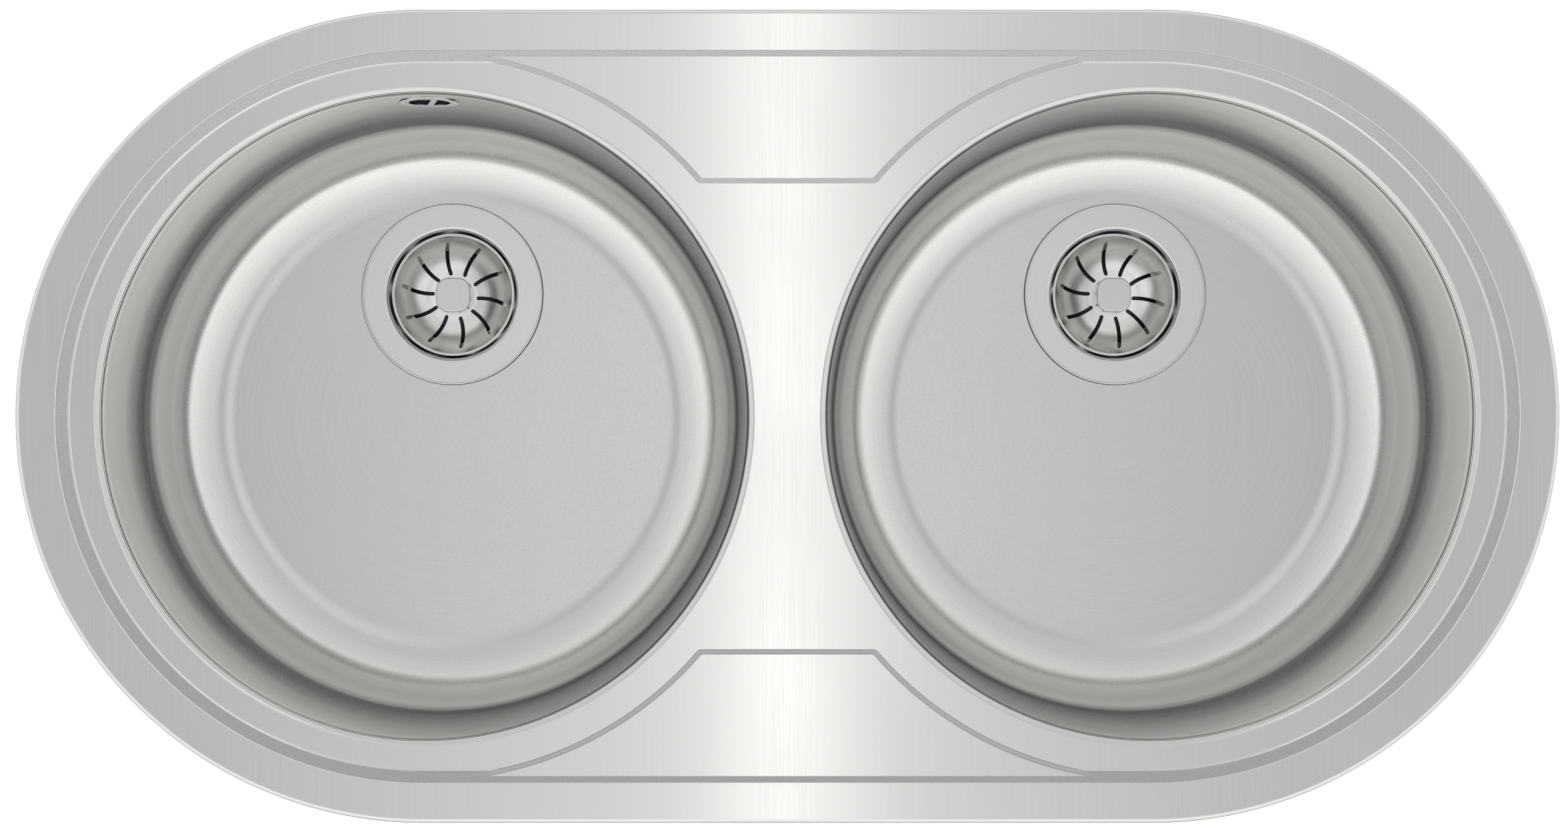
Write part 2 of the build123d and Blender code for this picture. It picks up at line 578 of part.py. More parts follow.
def hose_route():
    """Axis of the overflow hose: down from the elbow, round a bend, forward to the inlet."""
    bend_z = INLET_Z + HOSE_BEND
    bend_y = PIPE_Y - HOSE_BEND
    down = Line((0, PIPE_Y, ELBOW_END), (0, PIPE_Y, bend_z))
    turn = ThreePointArc((0, PIPE_Y, bend_z),
                         (0, bend_y + HOSE_BEND * math.cos(math.pi / 4),
                          bend_z - HOSE_BEND * math.sin(math.pi / 4)),
                         (0, bend_y, INLET_Z))
    ahead = Line((0, bend_y, INLET_Z), (0, INLET_Y, INLET_Z))
    return Wire([down, turn, ahead])


def overflow_hose():
    """Ribbed hose with a smooth bore and a straight smooth cuff at each end."""
    route = hose_route()
    cuff = 2 * PIPE_RADIUS
    ribbed = route.length - 2 * cuff
    count = round(ribbed / HOSE_RIB_PITCH)
    pitch = ribbed / count
    root = PIPE_RADIUS - HOSE_RIB_DEPTH
    stations = [(0, PIPE_RADIUS), (cuff - pitch / 4, PIPE_RADIUS)]
    for rib in range(count):
        start = cuff + rib * pitch
        stations += [(start, root), (start + pitch / 4, root),
                     (start + pitch / 2, PIPE_RADIUS), (start + pitch * 3 / 4, PIPE_RADIUS)]
    stations += [(cuff + ribbed, PIPE_RADIUS), (route.length, PIPE_RADIUS)]
    rings = [hose_plane(route, at) * Circle(radius) for at, radius in stations]
    solid = loft(rings, ruled=True)
    bore = sweep(hose_plane(route, 0) * Circle(PIPE_BORE), path=route)
    return solid - bore


def hose_plane(route, at):
    """Plane square to the hose's axis, with a steady X axis along the sink."""
    return Plane(origin=route.position_at(at / route.length), x_dir=(1, 0, 0),
                 z_dir=route.tangent_at(at / route.length))


def hose_nut(opening):
    """Ring nut over a pipe end: a wide bore over the pipe, a lip round the hose."""
    outer = extrude(RegularPolygon(NUT_RADIUS, NUT_FACES), NUT_LENGTH)
    outer = chamfer(outer.edges().group_by(Axis.Z)[0] + outer.edges().group_by(Axis.Z)[-1],
                    ELBOW_WALL / 3)
    return outer - disc(PIPE_RADIUS + NUT_GAP, -opening, NUT_LENGTH + opening)


def hose_nuts():
    upper = Pos(0, PIPE_Y, ELBOW_END - NUT_LENGTH / 2) * hose_nut(SHEET)
    lower = Pos(0, INLET_Y - NUT_LENGTH / 2, INLET_Z) * Rot(-90, 0, 0) * hose_nut(SHEET)
    return Part() + [upper, lower]


# ---------------------------------------------------------------- seal and pads

def rim_seal():
    """Foam strip between the rim's underside and the worktop."""
    outer = END_RADIUS - SEAL_INSET
    return round_the_deck(rz_polygon((outer, 0), (outer, RIM_UNDER),
                                     (outer - SEAL_WIDTH, RIM_UNDER), (outer - SEAL_WIDTH, 0)))


def sound_pad():
    top = FLOOR_TOP - BOWL_SHEET
    radius = (PAD_BACK - PAD_FRONT) / 2
    pad = Pos(0, PAD_FRONT + radius, 0) * disc(radius, top - PAD_THICK, top)
    return chamfer(pad.edges().group_by(Axis.Z)[0], PAD_THICK / 3)


# ---------------------------------------------------------------- clips

def clip_places():
    """Name and place of each clip; local +X points out of the sink, the origin is on its screw."""
    outward = Pos(END_RADIUS - CLIP_INSET, 0, 0)
    places = {"front_clip": Rot(0, 0, -90) * outward}
    for name, turn in (("right_front_clip", -CLIP_CORNER_ANGLE),
                       ("right_back_clip", CLIP_CORNER_ANGLE)):
        places[name] = Pos(END_X, 0, 0) * Rot(0, 0, turn) * outward
    for name, opposite in (("back_clip", "front_clip"), ("left_back_clip", "right_front_clip"),
                           ("left_front_clip", "right_back_clip")):
        places[name] = Rot(0, 0, 180) * places[opposite]
    return places


def clip_bracket():
    """Bent strip welded under the rim; its lower leg has a drawn and tapped collar."""
    low = RIM_UNDER - BRACKET_DROP
    mid = BRACKET_SHEET / 2
    strip = FilletPolyline((BRACKET_OUT, RIM_UNDER - mid), (BRACKET_WEB + mid, RIM_UNDER - mid),
                           (BRACKET_WEB + mid, low + mid), (-BRACKET_LEG_IN, low + mid),
                           radius=BRACKET_BEND + mid)
    outline = Plane.XZ * trace(strip, BRACKET_SHEET)
    bracket = extrude(outline, BRACKET_WIDTH / 2, both=True)
    bracket += disc(COLLAR_RADIUS, low, low + BRACKET_SHEET + COLLAR_HEIGHT)
    return bracket - disc(CLIP_SCREW_RADIUS + CLIP_TAP_GAP, low - SHEET,
                          low + BRACKET_SHEET + COLLAR_HEIGHT + SHEET)


def clip_screw():
    """Hexagon head screw, head down, that reaches up through the bracket's collar."""
    head = Pos(0, 0, -CLIP_BELOW - CLIP_SCREW_HEAD_HIGH) * extrude(
        RegularPolygon(CLIP_SCREW_HEAD, 6), CLIP_SCREW_HEAD_HIGH)
    slot = Pos(0, 0, -CLIP_BELOW - CLIP_SCREW_HEAD_HIGH) * Box(
        2 * CLIP_SCREW_HEAD, CLIP_SCREW_HEAD / 3, CLIP_SCREW_HEAD_HIGH)
    shank = disc(CLIP_SCREW_RADIUS, -CLIP_BELOW, CLIP_SCREW_REACH - CLIP_BELOW)
    shank = chamfer(shank.edges().group_by(Axis.Z)[-1], CLIP_SCREW_RADIUS / 4)
    return head - slot + shank


def clip_washer():
    """Thrust washer between the screw's head and the claw."""
    return disc(WASHER_RADIUS, -CLIP_BELOW, -CLIP_BELOW + WASHER_THICK,
                CLIP_SCREW_RADIUS + CLAW_GAP)


def clip_claw():
    """Bent claw, turned along the rim at rest, with two teeth at its raised end."""
    low = -CLIP_BELOW + WASHER_THICK
    mid = CLAW_SHEET / 2
    tail = CLAW_WIDTH / 2
    top = low + CLAW_RISE
    strip = FilletPolyline((-tail, low + mid), (CLAW_REACH - mid, low + mid),
                           (CLAW_REACH - mid, top), radius=CLAW_SHEET + mid)
    claw = extrude(Plane.XZ * trace(strip, CLAW_SHEET), CLAW_WIDTH / 2, both=True)
    notch = Pos(CLAW_REACH, 0, top) * Rot(0, 90, 0) * extrude(
        RegularPolygon(CLAW_NOTCH, 4), 2 * CLAW_SHEET, both=True)
    claw -= notch
    claw -= disc(CLIP_SCREW_RADIUS + CLAW_GAP, low - SHEET, low + CLAW_SHEET + SHEET)
    return Rot(0, 0, 90) * claw


# ---------------------------------------------------------------- all pieces

def main():
    os.makedirs("parts", exist_ok=True)
    save("deck_panel", deck_panel())
    save("rim_seal", rim_seal())

    waste = {
        "waste_flange": waste_flange(),
        "flange_seal": disc(RECESS_RADIUS - SEAT_GAP, RECESS_TOP, FLANGE_UNDER, DRAIN_HOLE),
        "body_seal": disc(BODY_RADIUS - SEAT_GAP, BODY_TOP, RECESS_UNDER, DRAIN_HOLE),
        "waste_body": waste_body(),
        "fixing_screw": fixing_screw(),
        "basket": basket(),
        "basket_knob": knob(),
        "basket_stopper": stopper(),
        "basket_stem": stem(),
    }
    plain_bowl = bowl()
    for side, sign in (("left", -1), ("right", 1)):
        at_bowl = Pos(sign * BOWL_X, 0, 0)
        at_drain = Pos(sign * BOWL_X, DRAIN_Y, 0)
        with_overflow = side == "left"
        save(side + "_bowl", at_bowl * (plain_bowl - overflow_holes() if with_overflow
                                        else plain_bowl))
        save(side + "_sound_pad", at_bowl * sound_pad())
        for name, shape in waste.items():
            if name == "waste_body" and with_overflow:
                shape = overflow_inlet(shape)
            save(side + "_" + name, at_drain * shape)

    at_left = Pos(-BOWL_X, 0, 0)
    save("overflow_rosette", at_left * rosette(bowl_form(0)))
    save("overflow_screws", at_left * rosette_screws())
    save("overflow_seal", at_left * overflow_seal(bowl_form(BOWL_SHEET)))
    save("overflow_elbow", at_left * overflow_elbow())
    save("overflow_hose", at_left * overflow_hose())
    save("overflow_hose_nuts", at_left * hose_nuts())

    places = clip_places()
    save("clip_brackets", Part() + [place * clip_bracket() for place in places.values()])
    for name, place in places.items():
        save(name + "_washer", place * clip_washer())
        save(name + "_screw", place * clip_screw())
        save(name + "_claw", place * clip_claw())


main()
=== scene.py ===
import json
import math

import bmesh
import bpy
from bpy.props import FloatProperty, FloatVectorProperty, IntProperty, PointerProperty
from mathutils import Matrix, Vector

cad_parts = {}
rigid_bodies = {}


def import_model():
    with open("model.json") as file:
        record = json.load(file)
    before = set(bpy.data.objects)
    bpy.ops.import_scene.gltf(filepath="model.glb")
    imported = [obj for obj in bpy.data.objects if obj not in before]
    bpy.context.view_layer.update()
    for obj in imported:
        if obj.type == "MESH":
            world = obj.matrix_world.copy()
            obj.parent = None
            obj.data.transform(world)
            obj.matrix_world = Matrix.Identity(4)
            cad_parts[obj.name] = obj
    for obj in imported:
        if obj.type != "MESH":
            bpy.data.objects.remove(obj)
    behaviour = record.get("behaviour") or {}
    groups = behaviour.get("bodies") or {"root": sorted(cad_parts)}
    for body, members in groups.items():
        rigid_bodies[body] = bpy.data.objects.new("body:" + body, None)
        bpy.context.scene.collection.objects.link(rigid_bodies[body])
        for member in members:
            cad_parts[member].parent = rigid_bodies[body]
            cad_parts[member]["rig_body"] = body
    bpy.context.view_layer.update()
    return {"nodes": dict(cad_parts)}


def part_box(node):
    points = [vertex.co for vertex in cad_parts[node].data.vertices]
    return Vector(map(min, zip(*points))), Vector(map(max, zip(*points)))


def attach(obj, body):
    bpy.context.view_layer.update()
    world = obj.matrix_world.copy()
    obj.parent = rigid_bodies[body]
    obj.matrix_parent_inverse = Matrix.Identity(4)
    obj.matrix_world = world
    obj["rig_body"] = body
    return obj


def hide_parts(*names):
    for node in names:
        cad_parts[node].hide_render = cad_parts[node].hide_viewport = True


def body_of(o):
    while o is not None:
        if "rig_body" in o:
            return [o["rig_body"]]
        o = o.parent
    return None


bl_info = {
    "name": "Double Bowl Kitchen Sink",
    "version": (1, 0, 0),
    "blender": (4, 5, 0),
    "location": "3D View > Sidebar > Sink",
    "description": "Dresses the frame of an inset kitchen sink with its steel, rubber and plastic",
    "category": "Object",
}

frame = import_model()

MM = 0.001
MICRON = 0.000001
MERGE = 1e-7
CAD_MERGE = 2e-6
UP = (0, 0, 1)
CORNER = bmesh.types.BMVert
EDGE = bmesh.types.BMEdge
SIDES = (("left", -1), ("right", 1))
CLIPS = ("front_clip", "back_clip", "right_front_clip", "right_back_clip",
         "left_front_clip", "left_back_clip")


def middle(node, axis):
    """Middle of a node's box along one axis."""
    low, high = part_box(node)
    return (low[axis] + high[axis]) / 2


DECK_LOW, DECK_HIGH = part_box("deck_panel")
RIM_TOP = DECK_HIGH.z
HALF_Y = DECK_HIGH.y
END_X = DECK_HIGH.x - HALF_Y
WELD_Z = DECK_LOW.z
WELD_DEPTH = 1.45 * MM
BOWL_X = middle("right_bowl", 0)
DRAIN_Y = middle("right_waste_flange", 1)
FLANGE_LOW, FLANGE_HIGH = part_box("right_waste_flange")
FLANGE_RADIUS = (FLANGE_HIGH.x - FLANGE_LOW.x) / 2
FLOOR_TOP = FLANGE_HIGH.z
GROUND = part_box("right_waste_body")[0].z


def finish_table():
    """Which finish each frame node has."""
    table = {"deck_panel": "deck", "rim_seal": "foam", "overflow_rosette": "left_flange",
             "overflow_screws": "bright", "overflow_seal": "rubber", "overflow_elbow": "plastic",
             "overflow_hose": "hose", "overflow_hose_nuts": "plastic", "clip_brackets": "zinc"}
    for side, _ in SIDES:
        for part, name in (("_bowl", side + "_bowl"), ("_waste_flange", side + "_flange"),
                           ("_basket", side + "_basket"), ("_basket_knob", side + "_knob"),
                           ("_sound_pad", "pad"), ("_flange_seal", "rubber"),
                           ("_body_seal", "rubber"), ("_waste_body", "plastic"),
                           ("_fixing_screw", "bright"), ("_basket_stopper", "rubber"),
                           ("_basket_stem", "bright")):
            table[side + part] = name
    for clip in CLIPS:
        for part in ("_washer", "_screw", "_claw"):
            table[clip + part] = "zinc"
    return table


FINISHES = finish_table()


# ---------------------------------------------------------------- sizes and colours

def length(name, description, millimetres):
    return FloatProperty(name=name, description=description, default=millimetres * MM,
                         unit="LENGTH", subtype="DISTANCE")


def angle(name, description, degrees):
    return FloatProperty(name=name, description=description, default=math.radians(degrees),
                         subtype="ANGLE")


def colour(name, description, rgb):
    return FloatVectorProperty(name=name, description=description, default=rgb, size=3,
                               min=0, max=1, subtype="COLOR")


class SinkBowlSizes(bpy.types.PropertyGroup):
    radius: length("Radius", "Inside radius just under the mouth", 174.5)
    sheet: length("Sheet", "Thickness of the drawn sheet", 0.8)
    mouth_fillet: length("Mouth Fillet", "Rounding of the bowl's mouth", 4.5)
    wall_taper: angle("Wall Taper", "How far the upper wall leans in", 2.8)
    lower_taper: angle("Lower Taper", "How far the lower wall leans in", 9)
    knuckle_depth: length("Knuckle Depth", "Rim top to the bend in the wall", 97)
    knuckle_fillet: length("Knuckle Fillet", "Rounding of the bend in the wall", 8)
    floor_edge: length("Floor Edge", "Radius of the flat floor", 128.8)
    floor_fillet: length("Floor Fillet", "Wide rounding that leaves the floor", 42)
    heel_lean: angle("Heel Lean", "Slope at which the wide rounding meets the tight one", 46)
    heel_fillet: length("Heel Fillet", "Tight rounding under the lower wall", 15)
    overflow_hole: length("Overflow Hole", "Radius of the hole behind the rosette", 12)
    plate_reach: length("Plate Reach", "Height of wall faces above and below the hole", 13.2)
    segments: IntProperty(name="Segments", description="Steps round a bowl", default=288, min=64)


class SinkDeckSizes(bpy.types.PropertyGroup):
    rim_width: length("Rim Width", "Outline to the top of the sloped step", 22.1)
    slope_width: length("Slope Width", "Plan width of the sloped step", 6.7)
    drop: length("Deck Drop", "Rim top down to the sunken deck", 3.2)
    panel_rise: length("Panel Rise", "Raised panels above the sunken deck", 1.6)
    panel_edge: length("Panel Edge", "Middle of the sink to a panel's straight foot", 126.4)
    panel_arc: length("Panel Arc", "Bowl axis to a panel's curved foot", 195.2)
    panel_step: length("Panel Step", "Plan width of a panel's sloped side", 2.0)
    panel_corner: length("Panel Corner", "Rounding of a panel's front corners", 4.0)
    bend: length("Bend", "Half the width of the rounded bends in the sheet", 0.75)
    # Painted shade: the rolled rim is coloured dark up to this height.
    painted_rim_shade: length("Sheared Edge", "Height of the dull edge round the rim", 1.5)
    sheet: length("Sheet", "Thickness of the pressed sheet", 0.8)


class SinkHardwareSizes(bpy.types.PropertyGroup):
    tail: length("Tail", "Length of the threaded outlet under a waste body", 29)
    tail_radius: length("Tail Radius", "Outer radius of the outlet's thread", 23.9)
    tail_thread: length("Tail Thread", "Depth of the outlet's thread", 1.2)
    tail_pitch: length("Tail Pitch", "Pitch of the outlet's thread", 2.3)
    screw_radius: length("Clip Screw Radius", "Outer radius of a clip screw's thread", 2.5)
    screw_thread: length("Clip Screw Thread", "Depth of a clip screw's thread", 0.4)
    screw_pitch: length("Clip Screw Pitch", "Pitch of a clip screw's thread", 0.8)
    hose_radius: length("Hose Radius", "Over the hose's ribs", 11)
    hose_bend: length("Hose Bend", "Radius of the hose's bend at its middle", 30)
    rib_pitch: length("Rib Pitch", "Distance from rib to rib", 5)
    rib_depth: length("Rib Depth", "Depth of the grooves between the ribs", 1.6)


class SinkColours(bpy.types.PropertyGroup):
    deck: colour("Deck Steel", "Satin steel of the deck", (0.70, 0.695, 0.68))
    step: colour("Step Steel", "Pressed steel of the sloped step", (0.43, 0.427, 0.417))
    # Painted highlight: lighter colour along the deck's lower bends, where light makes bright
    # hairlines.
    bend: colour("Bend Steel", "Burnished bends of the deck", (0.84, 0.835, 0.82))
    mouth: colour("Mouth Edge", "Steel that turns down into a bowl", (0.60, 0.595, 0.58))
    # Painted shade: dark colour of the lower half of the rolled rim, standing in for the dark
    # outline that light leaves along the edge.
    painted_rim_shade: colour("Sheared Steel", "Dull edge round the rim", (0.20, 0.20, 0.195))
    bowl: colour("Bowl Steel", "Satin steel of the bowls", (0.67, 0.665, 0.65))
    flange: colour("Flange Steel", "Steel of the waste flanges", (0.72, 0.715, 0.70))
    basket: colour("Basket Steel", "Steel of the baskets", (0.90, 0.895, 0.88))
    knob: colour("Knob Steel", "Steel of the knobs", (0.68, 0.675, 0.665))
    screw: colour("Bright Steel", "Steel of screws and stems", (0.70, 0.70, 0.69))
    clip: colour("Zinc", "Zinc plate of the clips", (0.62, 0.64, 0.66))
    rubber: colour("Rubber", "Black rubber", (0.020, 0.020, 0.022))
    foam: colour("Foam", "Foam of the rim seal", (0.055, 0.055, 0.058))
    pad: colour("Sound Pad", "Pads under the bowls", (0.022, 0.022, 0.024))
    plastic: colour("White Plastic", "Waste bodies, elbow and nuts", (0.76, 0.76, 0.73))
    # Painted shade: near-black colour for the inside of the white elbow, as seen through the
    # rosette.
    painted_chamber_shade: colour("Elbow Chamber", "Dark inside of the overflow elbow", (0.02, 0.02, 0.02))
    hose: colour("Hose Plastic", "Overflow hose", (0.52, 0.53, 0.53))


class SinkStudio(bpy.types.PropertyGroup):
    eye_x: length("Eye X", "Camera place from left to right", -22.6)
    eye_y: length("Eye Y", "Camera place from front to back", -13.8)
    eye_height: length("Eye Height", "Camera above the worktop plane", 1620.8)
    lens: FloatProperty(name="Lens", description="Focal length on a 36 mm sensor", default=68.8)
    shift_x: FloatProperty(name="Shift X", description="Sideways shift", default=0.0245)
    shift_y: FloatProperty(name="Shift Y", description="Upward shift", default=0.0171)
    floor: colour("Floor", "Pale studio floor", (0.90, 0.90, 0.90))


# ---------------------------------------------------------------- shader nodes

def feed(tree, socket, value):
    """Link another node's output into a socket, or set the socket to a number."""
    if isinstance(value, bpy.types.NodeSocket):
        tree.links.new(value, socket)
    else:
        socket.default_value = value


def add(tree, kind, inputs=None, **settings):
    """New node with its settings; inputs holds a link or a number for each socket."""
    node = tree.nodes.new(kind)
    for key, value in settings.items():
        setattr(node, key, value)
    for key, value in (inputs or {}).items():
        feed(tree, node.inputs[key], value)
    return node


def maths(tree, operation, *values):
    return add(tree, "ShaderNodeMath", dict(enumerate(values)), operation=operation).outputs[0]


def times(tree, *factors):
    """Product of links or numbers."""
    product = factors[0]
    for factor in factors[1:]:
        product = maths(tree, "MULTIPLY", product, factor)
    return product


def scaled(tree, vector, factor):
    """A vector or a colour times a number."""
    return add(tree, "ShaderNodeVectorMath", {0: vector, "Scale": factor},
               operation="SCALE").outputs[0]


def parts_of(tree, vector):
    """X, Y and Z of a vector."""
    return add(tree, "ShaderNodeSeparateXYZ", {0: vector}).outputs


def ranged(tree, value, span, ends, interpolation="LINEAR"):
    """Map a value's span to a pair of end values and hold it there beyond the span."""
    numbers = zip(("From Min", "From Max", "To Min", "To Max"), (*span, *ends))
    return add(tree, "ShaderNodeMapRange", {"Value": value, **dict(numbers)},
               interpolation_type=interpolation).outputs[0]


def stepped(tree, value, span, ends=(0.0, 1.0)):
    """A smooth step of a value across a span, from one end value to the other."""
    return ranged(tree, value, span, ends, "SMOOTHSTEP")


def spread(tree, noisy, low, high):
    """Map the middle half of a noise to low..high."""
    return ranged(tree, noisy, (0.25, 0.75), (low, high))


def mixed(tree, factor, first, second):
    """Mix of two numbers."""
    return add(tree, "ShaderNodeMix", {0: factor, 2: first, 3: second},
               data_type="FLOAT").outputs[0]


def noise(tree, vector, scale, detail=2.0, roughness=0.5):
    return add(tree, "ShaderNodeTexNoise", {"Vector": vector, "Scale": scale, "Detail": detail,
                                            "Roughness": roughness}).outputs["Fac"]


def object_vector(tree, place=(0, 0, 0)):
    """Object coordinates measured from a place."""
    coordinates = add(tree, "ShaderNodeTexCoord").outputs["Object"]
    return add(tree, "ShaderNodeMapping", {"Vector": coordinates,
                                           "Location": tuple(-part for part in place)}).outputs[0]


# ---------------------------------------------------------------- materials

SHEET_LINES = (2200.0, 12.0, 2200.0)
WALL_LINES = 1500.0
LINE_LENGTH = 1.4
SPECKS = 1300.0
PITS = 900.0
PAINTED_LIGHT_PEAK = 1.5
# Painted light and shade on the bowl walls: height and the tone that multiplies the steel's colour
# there; above 1 is a painted highlight (lower wall, near the mouth), below 1 is painted shade (at
# the bend, on the upper wall).
WALL_PAINTED_LIGHT = ((-0.151, 1.00), (-0.145, 1.36), (-0.116, 1.42), (-0.108, 1.15), (-0.100, 0.43),
              (-0.0945, 0.29), (-0.088, 0.29), (-0.070, 0.52), (-0.045, 0.86), (-0.012, 1.12),
              (-0.0045, 1.40))
# Painted shade, darker towards the middle of the sink: heights, distances, share taken off.
INNER_PAINTED_SHADE = (((-0.118, -0.100), (0.04, 0.36), 0.68), ((-0.150, -0.128), (0.03, 0.16), 0.45))
SATIN_START = (-0.150, -0.138)
SATIN_END = (-0.104, -0.092)
SATIN_ROUGHNESS = 0.38
SATIN_METAL = 0.5
PAINTED_SHADE_ROUGHNESS = 0.10
# Share of colour left on a basket's top lip: painted shade that dims its highlight.
DISH_RIM_PAINTED_SHADE = 0.74


def grain_group(name, outputs):
    """Shader group from a vector to named values; gives its vector and its output sockets."""
    group = bpy.data.node_groups.new(name, "ShaderNodeTree")
    group.interface.new_socket(name="Vector", in_out="INPUT", socket_type="NodeSocketVector")
    for label in outputs:
        group.interface.new_socket(name=label, in_out="OUTPUT", socket_type="NodeSocketFloat")
    given = group.nodes.new("NodeGroupInput").outputs["Vector"]
    return group, given, group.nodes.new("NodeGroupOutput").inputs


def straight_grain():
    """Fine lines of a satin-ground flat sheet; they run along Y."""
    group, vector, out = grain_group("StraightGrain", ("Lines", "Cloud"))
    stretch = add(group, "ShaderNodeVectorMath", {0: vector, 1: SHEET_LINES},
                  operation="MULTIPLY").outputs[0]
    feed(group, out["Lines"], noise(group, stretch, 1.0, detail=3.0, roughness=0.62))
    feed(group, out["Cloud"], noise(group, vector, 9.0))


def round_grain():
    """Fine lines that run round an axis, as on a drawn and polished bowl."""
    group, vector, out = grain_group("RoundGrain", ("Lines", "Cloud"))
    x, y, z = parts_of(group, vector)
    radius = maths(group, "SQRT", maths(group, "ADD", times(group, x, x), times(group, y, y)))
    safe = maths(group, "MAXIMUM", radius, 1 * MM)
    down = maths(group, "SUBTRACT", radius, z)
    turned = add(group, "ShaderNodeCombineXYZ",
                 {0: times(group, maths(group, "DIVIDE", x, safe), LINE_LENGTH),
                  1: times(group, maths(group, "DIVIDE", y, safe), LINE_LENGTH),
                  2: times(group, down, WALL_LINES)}).outputs[0]
    feed(group, out["Lines"], noise(group, turned, 1.0, detail=3.0, roughness=0.6))
    feed(group, out["Cloud"], noise(group, vector, 14.0))


def mottle():
    """Slow change of tone and fine pitting of moulded or foamed stuff."""
    group, vector, out = grain_group("Mottle", ("Tone", "Pits"))
    feed(group, out["Tone"], noise(group, vector, 30.0, detail=3.0))
    feed(group, out["Pits"], noise(group, vector, PITS))


def new_material(name):
    material = bpy.data.materials.new(name)
    material.use_nodes = True
    tree = material.node_tree
    return material, tree, tree.nodes["Principled BSDF"]


def finish(name):
    return bpy.data.materials[name + "_finish"]


def surfaced(tree, shader, base, tones, rough, metallic, height, relief):
    """Feed a shader its toned colour, roughness, metal and a relief in microns."""
    bump = add(tree, "ShaderNodeBump", {"Distance": relief * MICRON, "Height": height})
    for label, value in (("Base Color", scaled(tree, base, tones)), ("Roughness", rough),
                         ("Metallic", metallic), ("Normal", bump.outputs[0])):
        feed(tree, shader.inputs[label], value)


def drawn_wall_painted_light(tree, x, z):
    """Painted light of a drawn wall: a painted highlight below the bend and near the mouth, painted
    shade above the bend and between the bowls.
    """
    low, high = WALL_PAINTED_LIGHT[0][0], WALL_PAINTED_LIGHT[-1][0]
    ramp = add(tree, "ShaderNodeValToRGB", {"Fac": ranged(tree, z, (low, high), (0.0, 1.0))})
    ramp.color_ramp.interpolation = "EASE"
    elements = ramp.color_ramp.elements
    for height, _ in WALL_PAINTED_LIGHT[1:-1]:
        elements.new((height - low) / (high - low))
    for element, (_, tone) in zip(elements, WALL_PAINTED_LIGHT):
        element.color = (tone / PAINTED_LIGHT_PEAK, tone / PAINTED_LIGHT_PEAK, tone / PAINTED_LIGHT_PEAK, 1)
    tones = times(tree, ramp.outputs["Color"], PAINTED_LIGHT_PEAK)
    aside = maths(tree, "ABSOLUTE", x)
    # Painted shade on the wall towards the middle of the sink.
    for heights, distances, share in INNER_PAINTED_SHADE:
        side = stepped(tree, aside, distances, (share, 0.0))
        shade = times(tree, stepped(tree, z, heights), side)
        tones = times(tree, tones, maths(tree, "SUBTRACT", 1.0, shade))
    return tones


def drawn_wall(tree, tones, rough):
    """Tone, roughness and metal of a drawn wall: painted light and shade in its tone, satin below
    the bend, rougher where its shade is painted.
    """
    x, _, z = parts_of(tree, object_vector(tree))
    wall = drawn_wall_painted_light(tree, x, z)
    # Where the wall's colour is darkened as painted shade, its roughness goes up too.
    painted_shade = maths(tree, "MAXIMUM", maths(tree, "SUBTRACT", 1.0, wall), 0.0)
    rough = maths(tree, "ADD", rough, times(tree, painted_shade, PAINTED_SHADE_ROUGHNESS))
    satin = times(tree, stepped(tree, z, SATIN_START), stepped(tree, z, SATIN_END, (1.0, 0.0)))
    return (times(tree, tones, wall), maths(tree, "MULTIPLY_ADD", satin, SATIN_ROUGHNESS, rough),
            maths(tree, "MULTIPLY_ADD", satin, -SATIN_METAL, 1.0))


def grained_steel(name, base, group, place=(0, 0, 0), roughness=0.2, relief=1.0, tone=0.03,
                  speckle=0.0, drawn=False, dish_rim=None):
    """Steel with a grain group: lines in its tone, relief and roughness, cloud in the roughness."""
    _, tree, shader = new_material(name + "_finish")
    grain = add(tree, "ShaderNodeGroup", {"Vector": object_vector(tree, place)},
                node_tree=bpy.data.node_groups[group])
    lines, cloud = grain.outputs["Lines"], grain.outputs["Cloud"]
    tones = spread(tree, lines, 1 - tone, 1 + tone)
    rough = maths(tree, "ADD", spread(tree, lines, -0.02, 0.03),
                  spread(tree, cloud, roughness - 0.01, roughness + 0.02))
    metallic = 1.0
    # A drawn wall gets painted light and shade in its tone.
    if drawn:
        tones, rough, metallic = drawn_wall(tree, tones, rough)
    # Painted shade: the basket's top lip is coloured darker so that its highlight is dimmer.
    if dish_rim is not None:
        height = parts_of(tree, object_vector(tree))["Z"]
        edge = (dish_rim - 0.2 * MM, dish_rim - 0.1 * MM)
        tones = times(tree, tones, stepped(tree, height, edge, (1.0, DISH_RIM_PAINTED_SHADE)))
    if speckle:
        specks = noise(tree, object_vector(tree), SPECKS, detail=1.0)
        tones = times(tree, tones, spread(tree, specks, 1 - speckle, 1 + speckle))
        rough = maths(tree, "ADD", rough, spread(tree, specks, 0.04, -0.04))
    surfaced(tree, shader, base, tones, rough, metallic, lines, relief)


def moulded(name, base, roughness, relief=30, tone=0.05, metallic=0.0):
    """Rubber, foam, plastic or plate with mottled tone and fine pits."""
    _, tree, shader = new_material(name + "_finish")
    mottled = add(tree, "ShaderNodeGroup", {"Vector": object_vector(tree)},
                  node_tree=bpy.data.node_groups["Mottle"])
    pits = mottled.outputs["Pits"]
    surfaced(tree, shader, base, spread(tree, mottled.outputs["Tone"], 1 - tone, 1 + tone),
             spread(tree, pits, roughness - 0.04, roughness + 0.05), metallic, pits, relief)


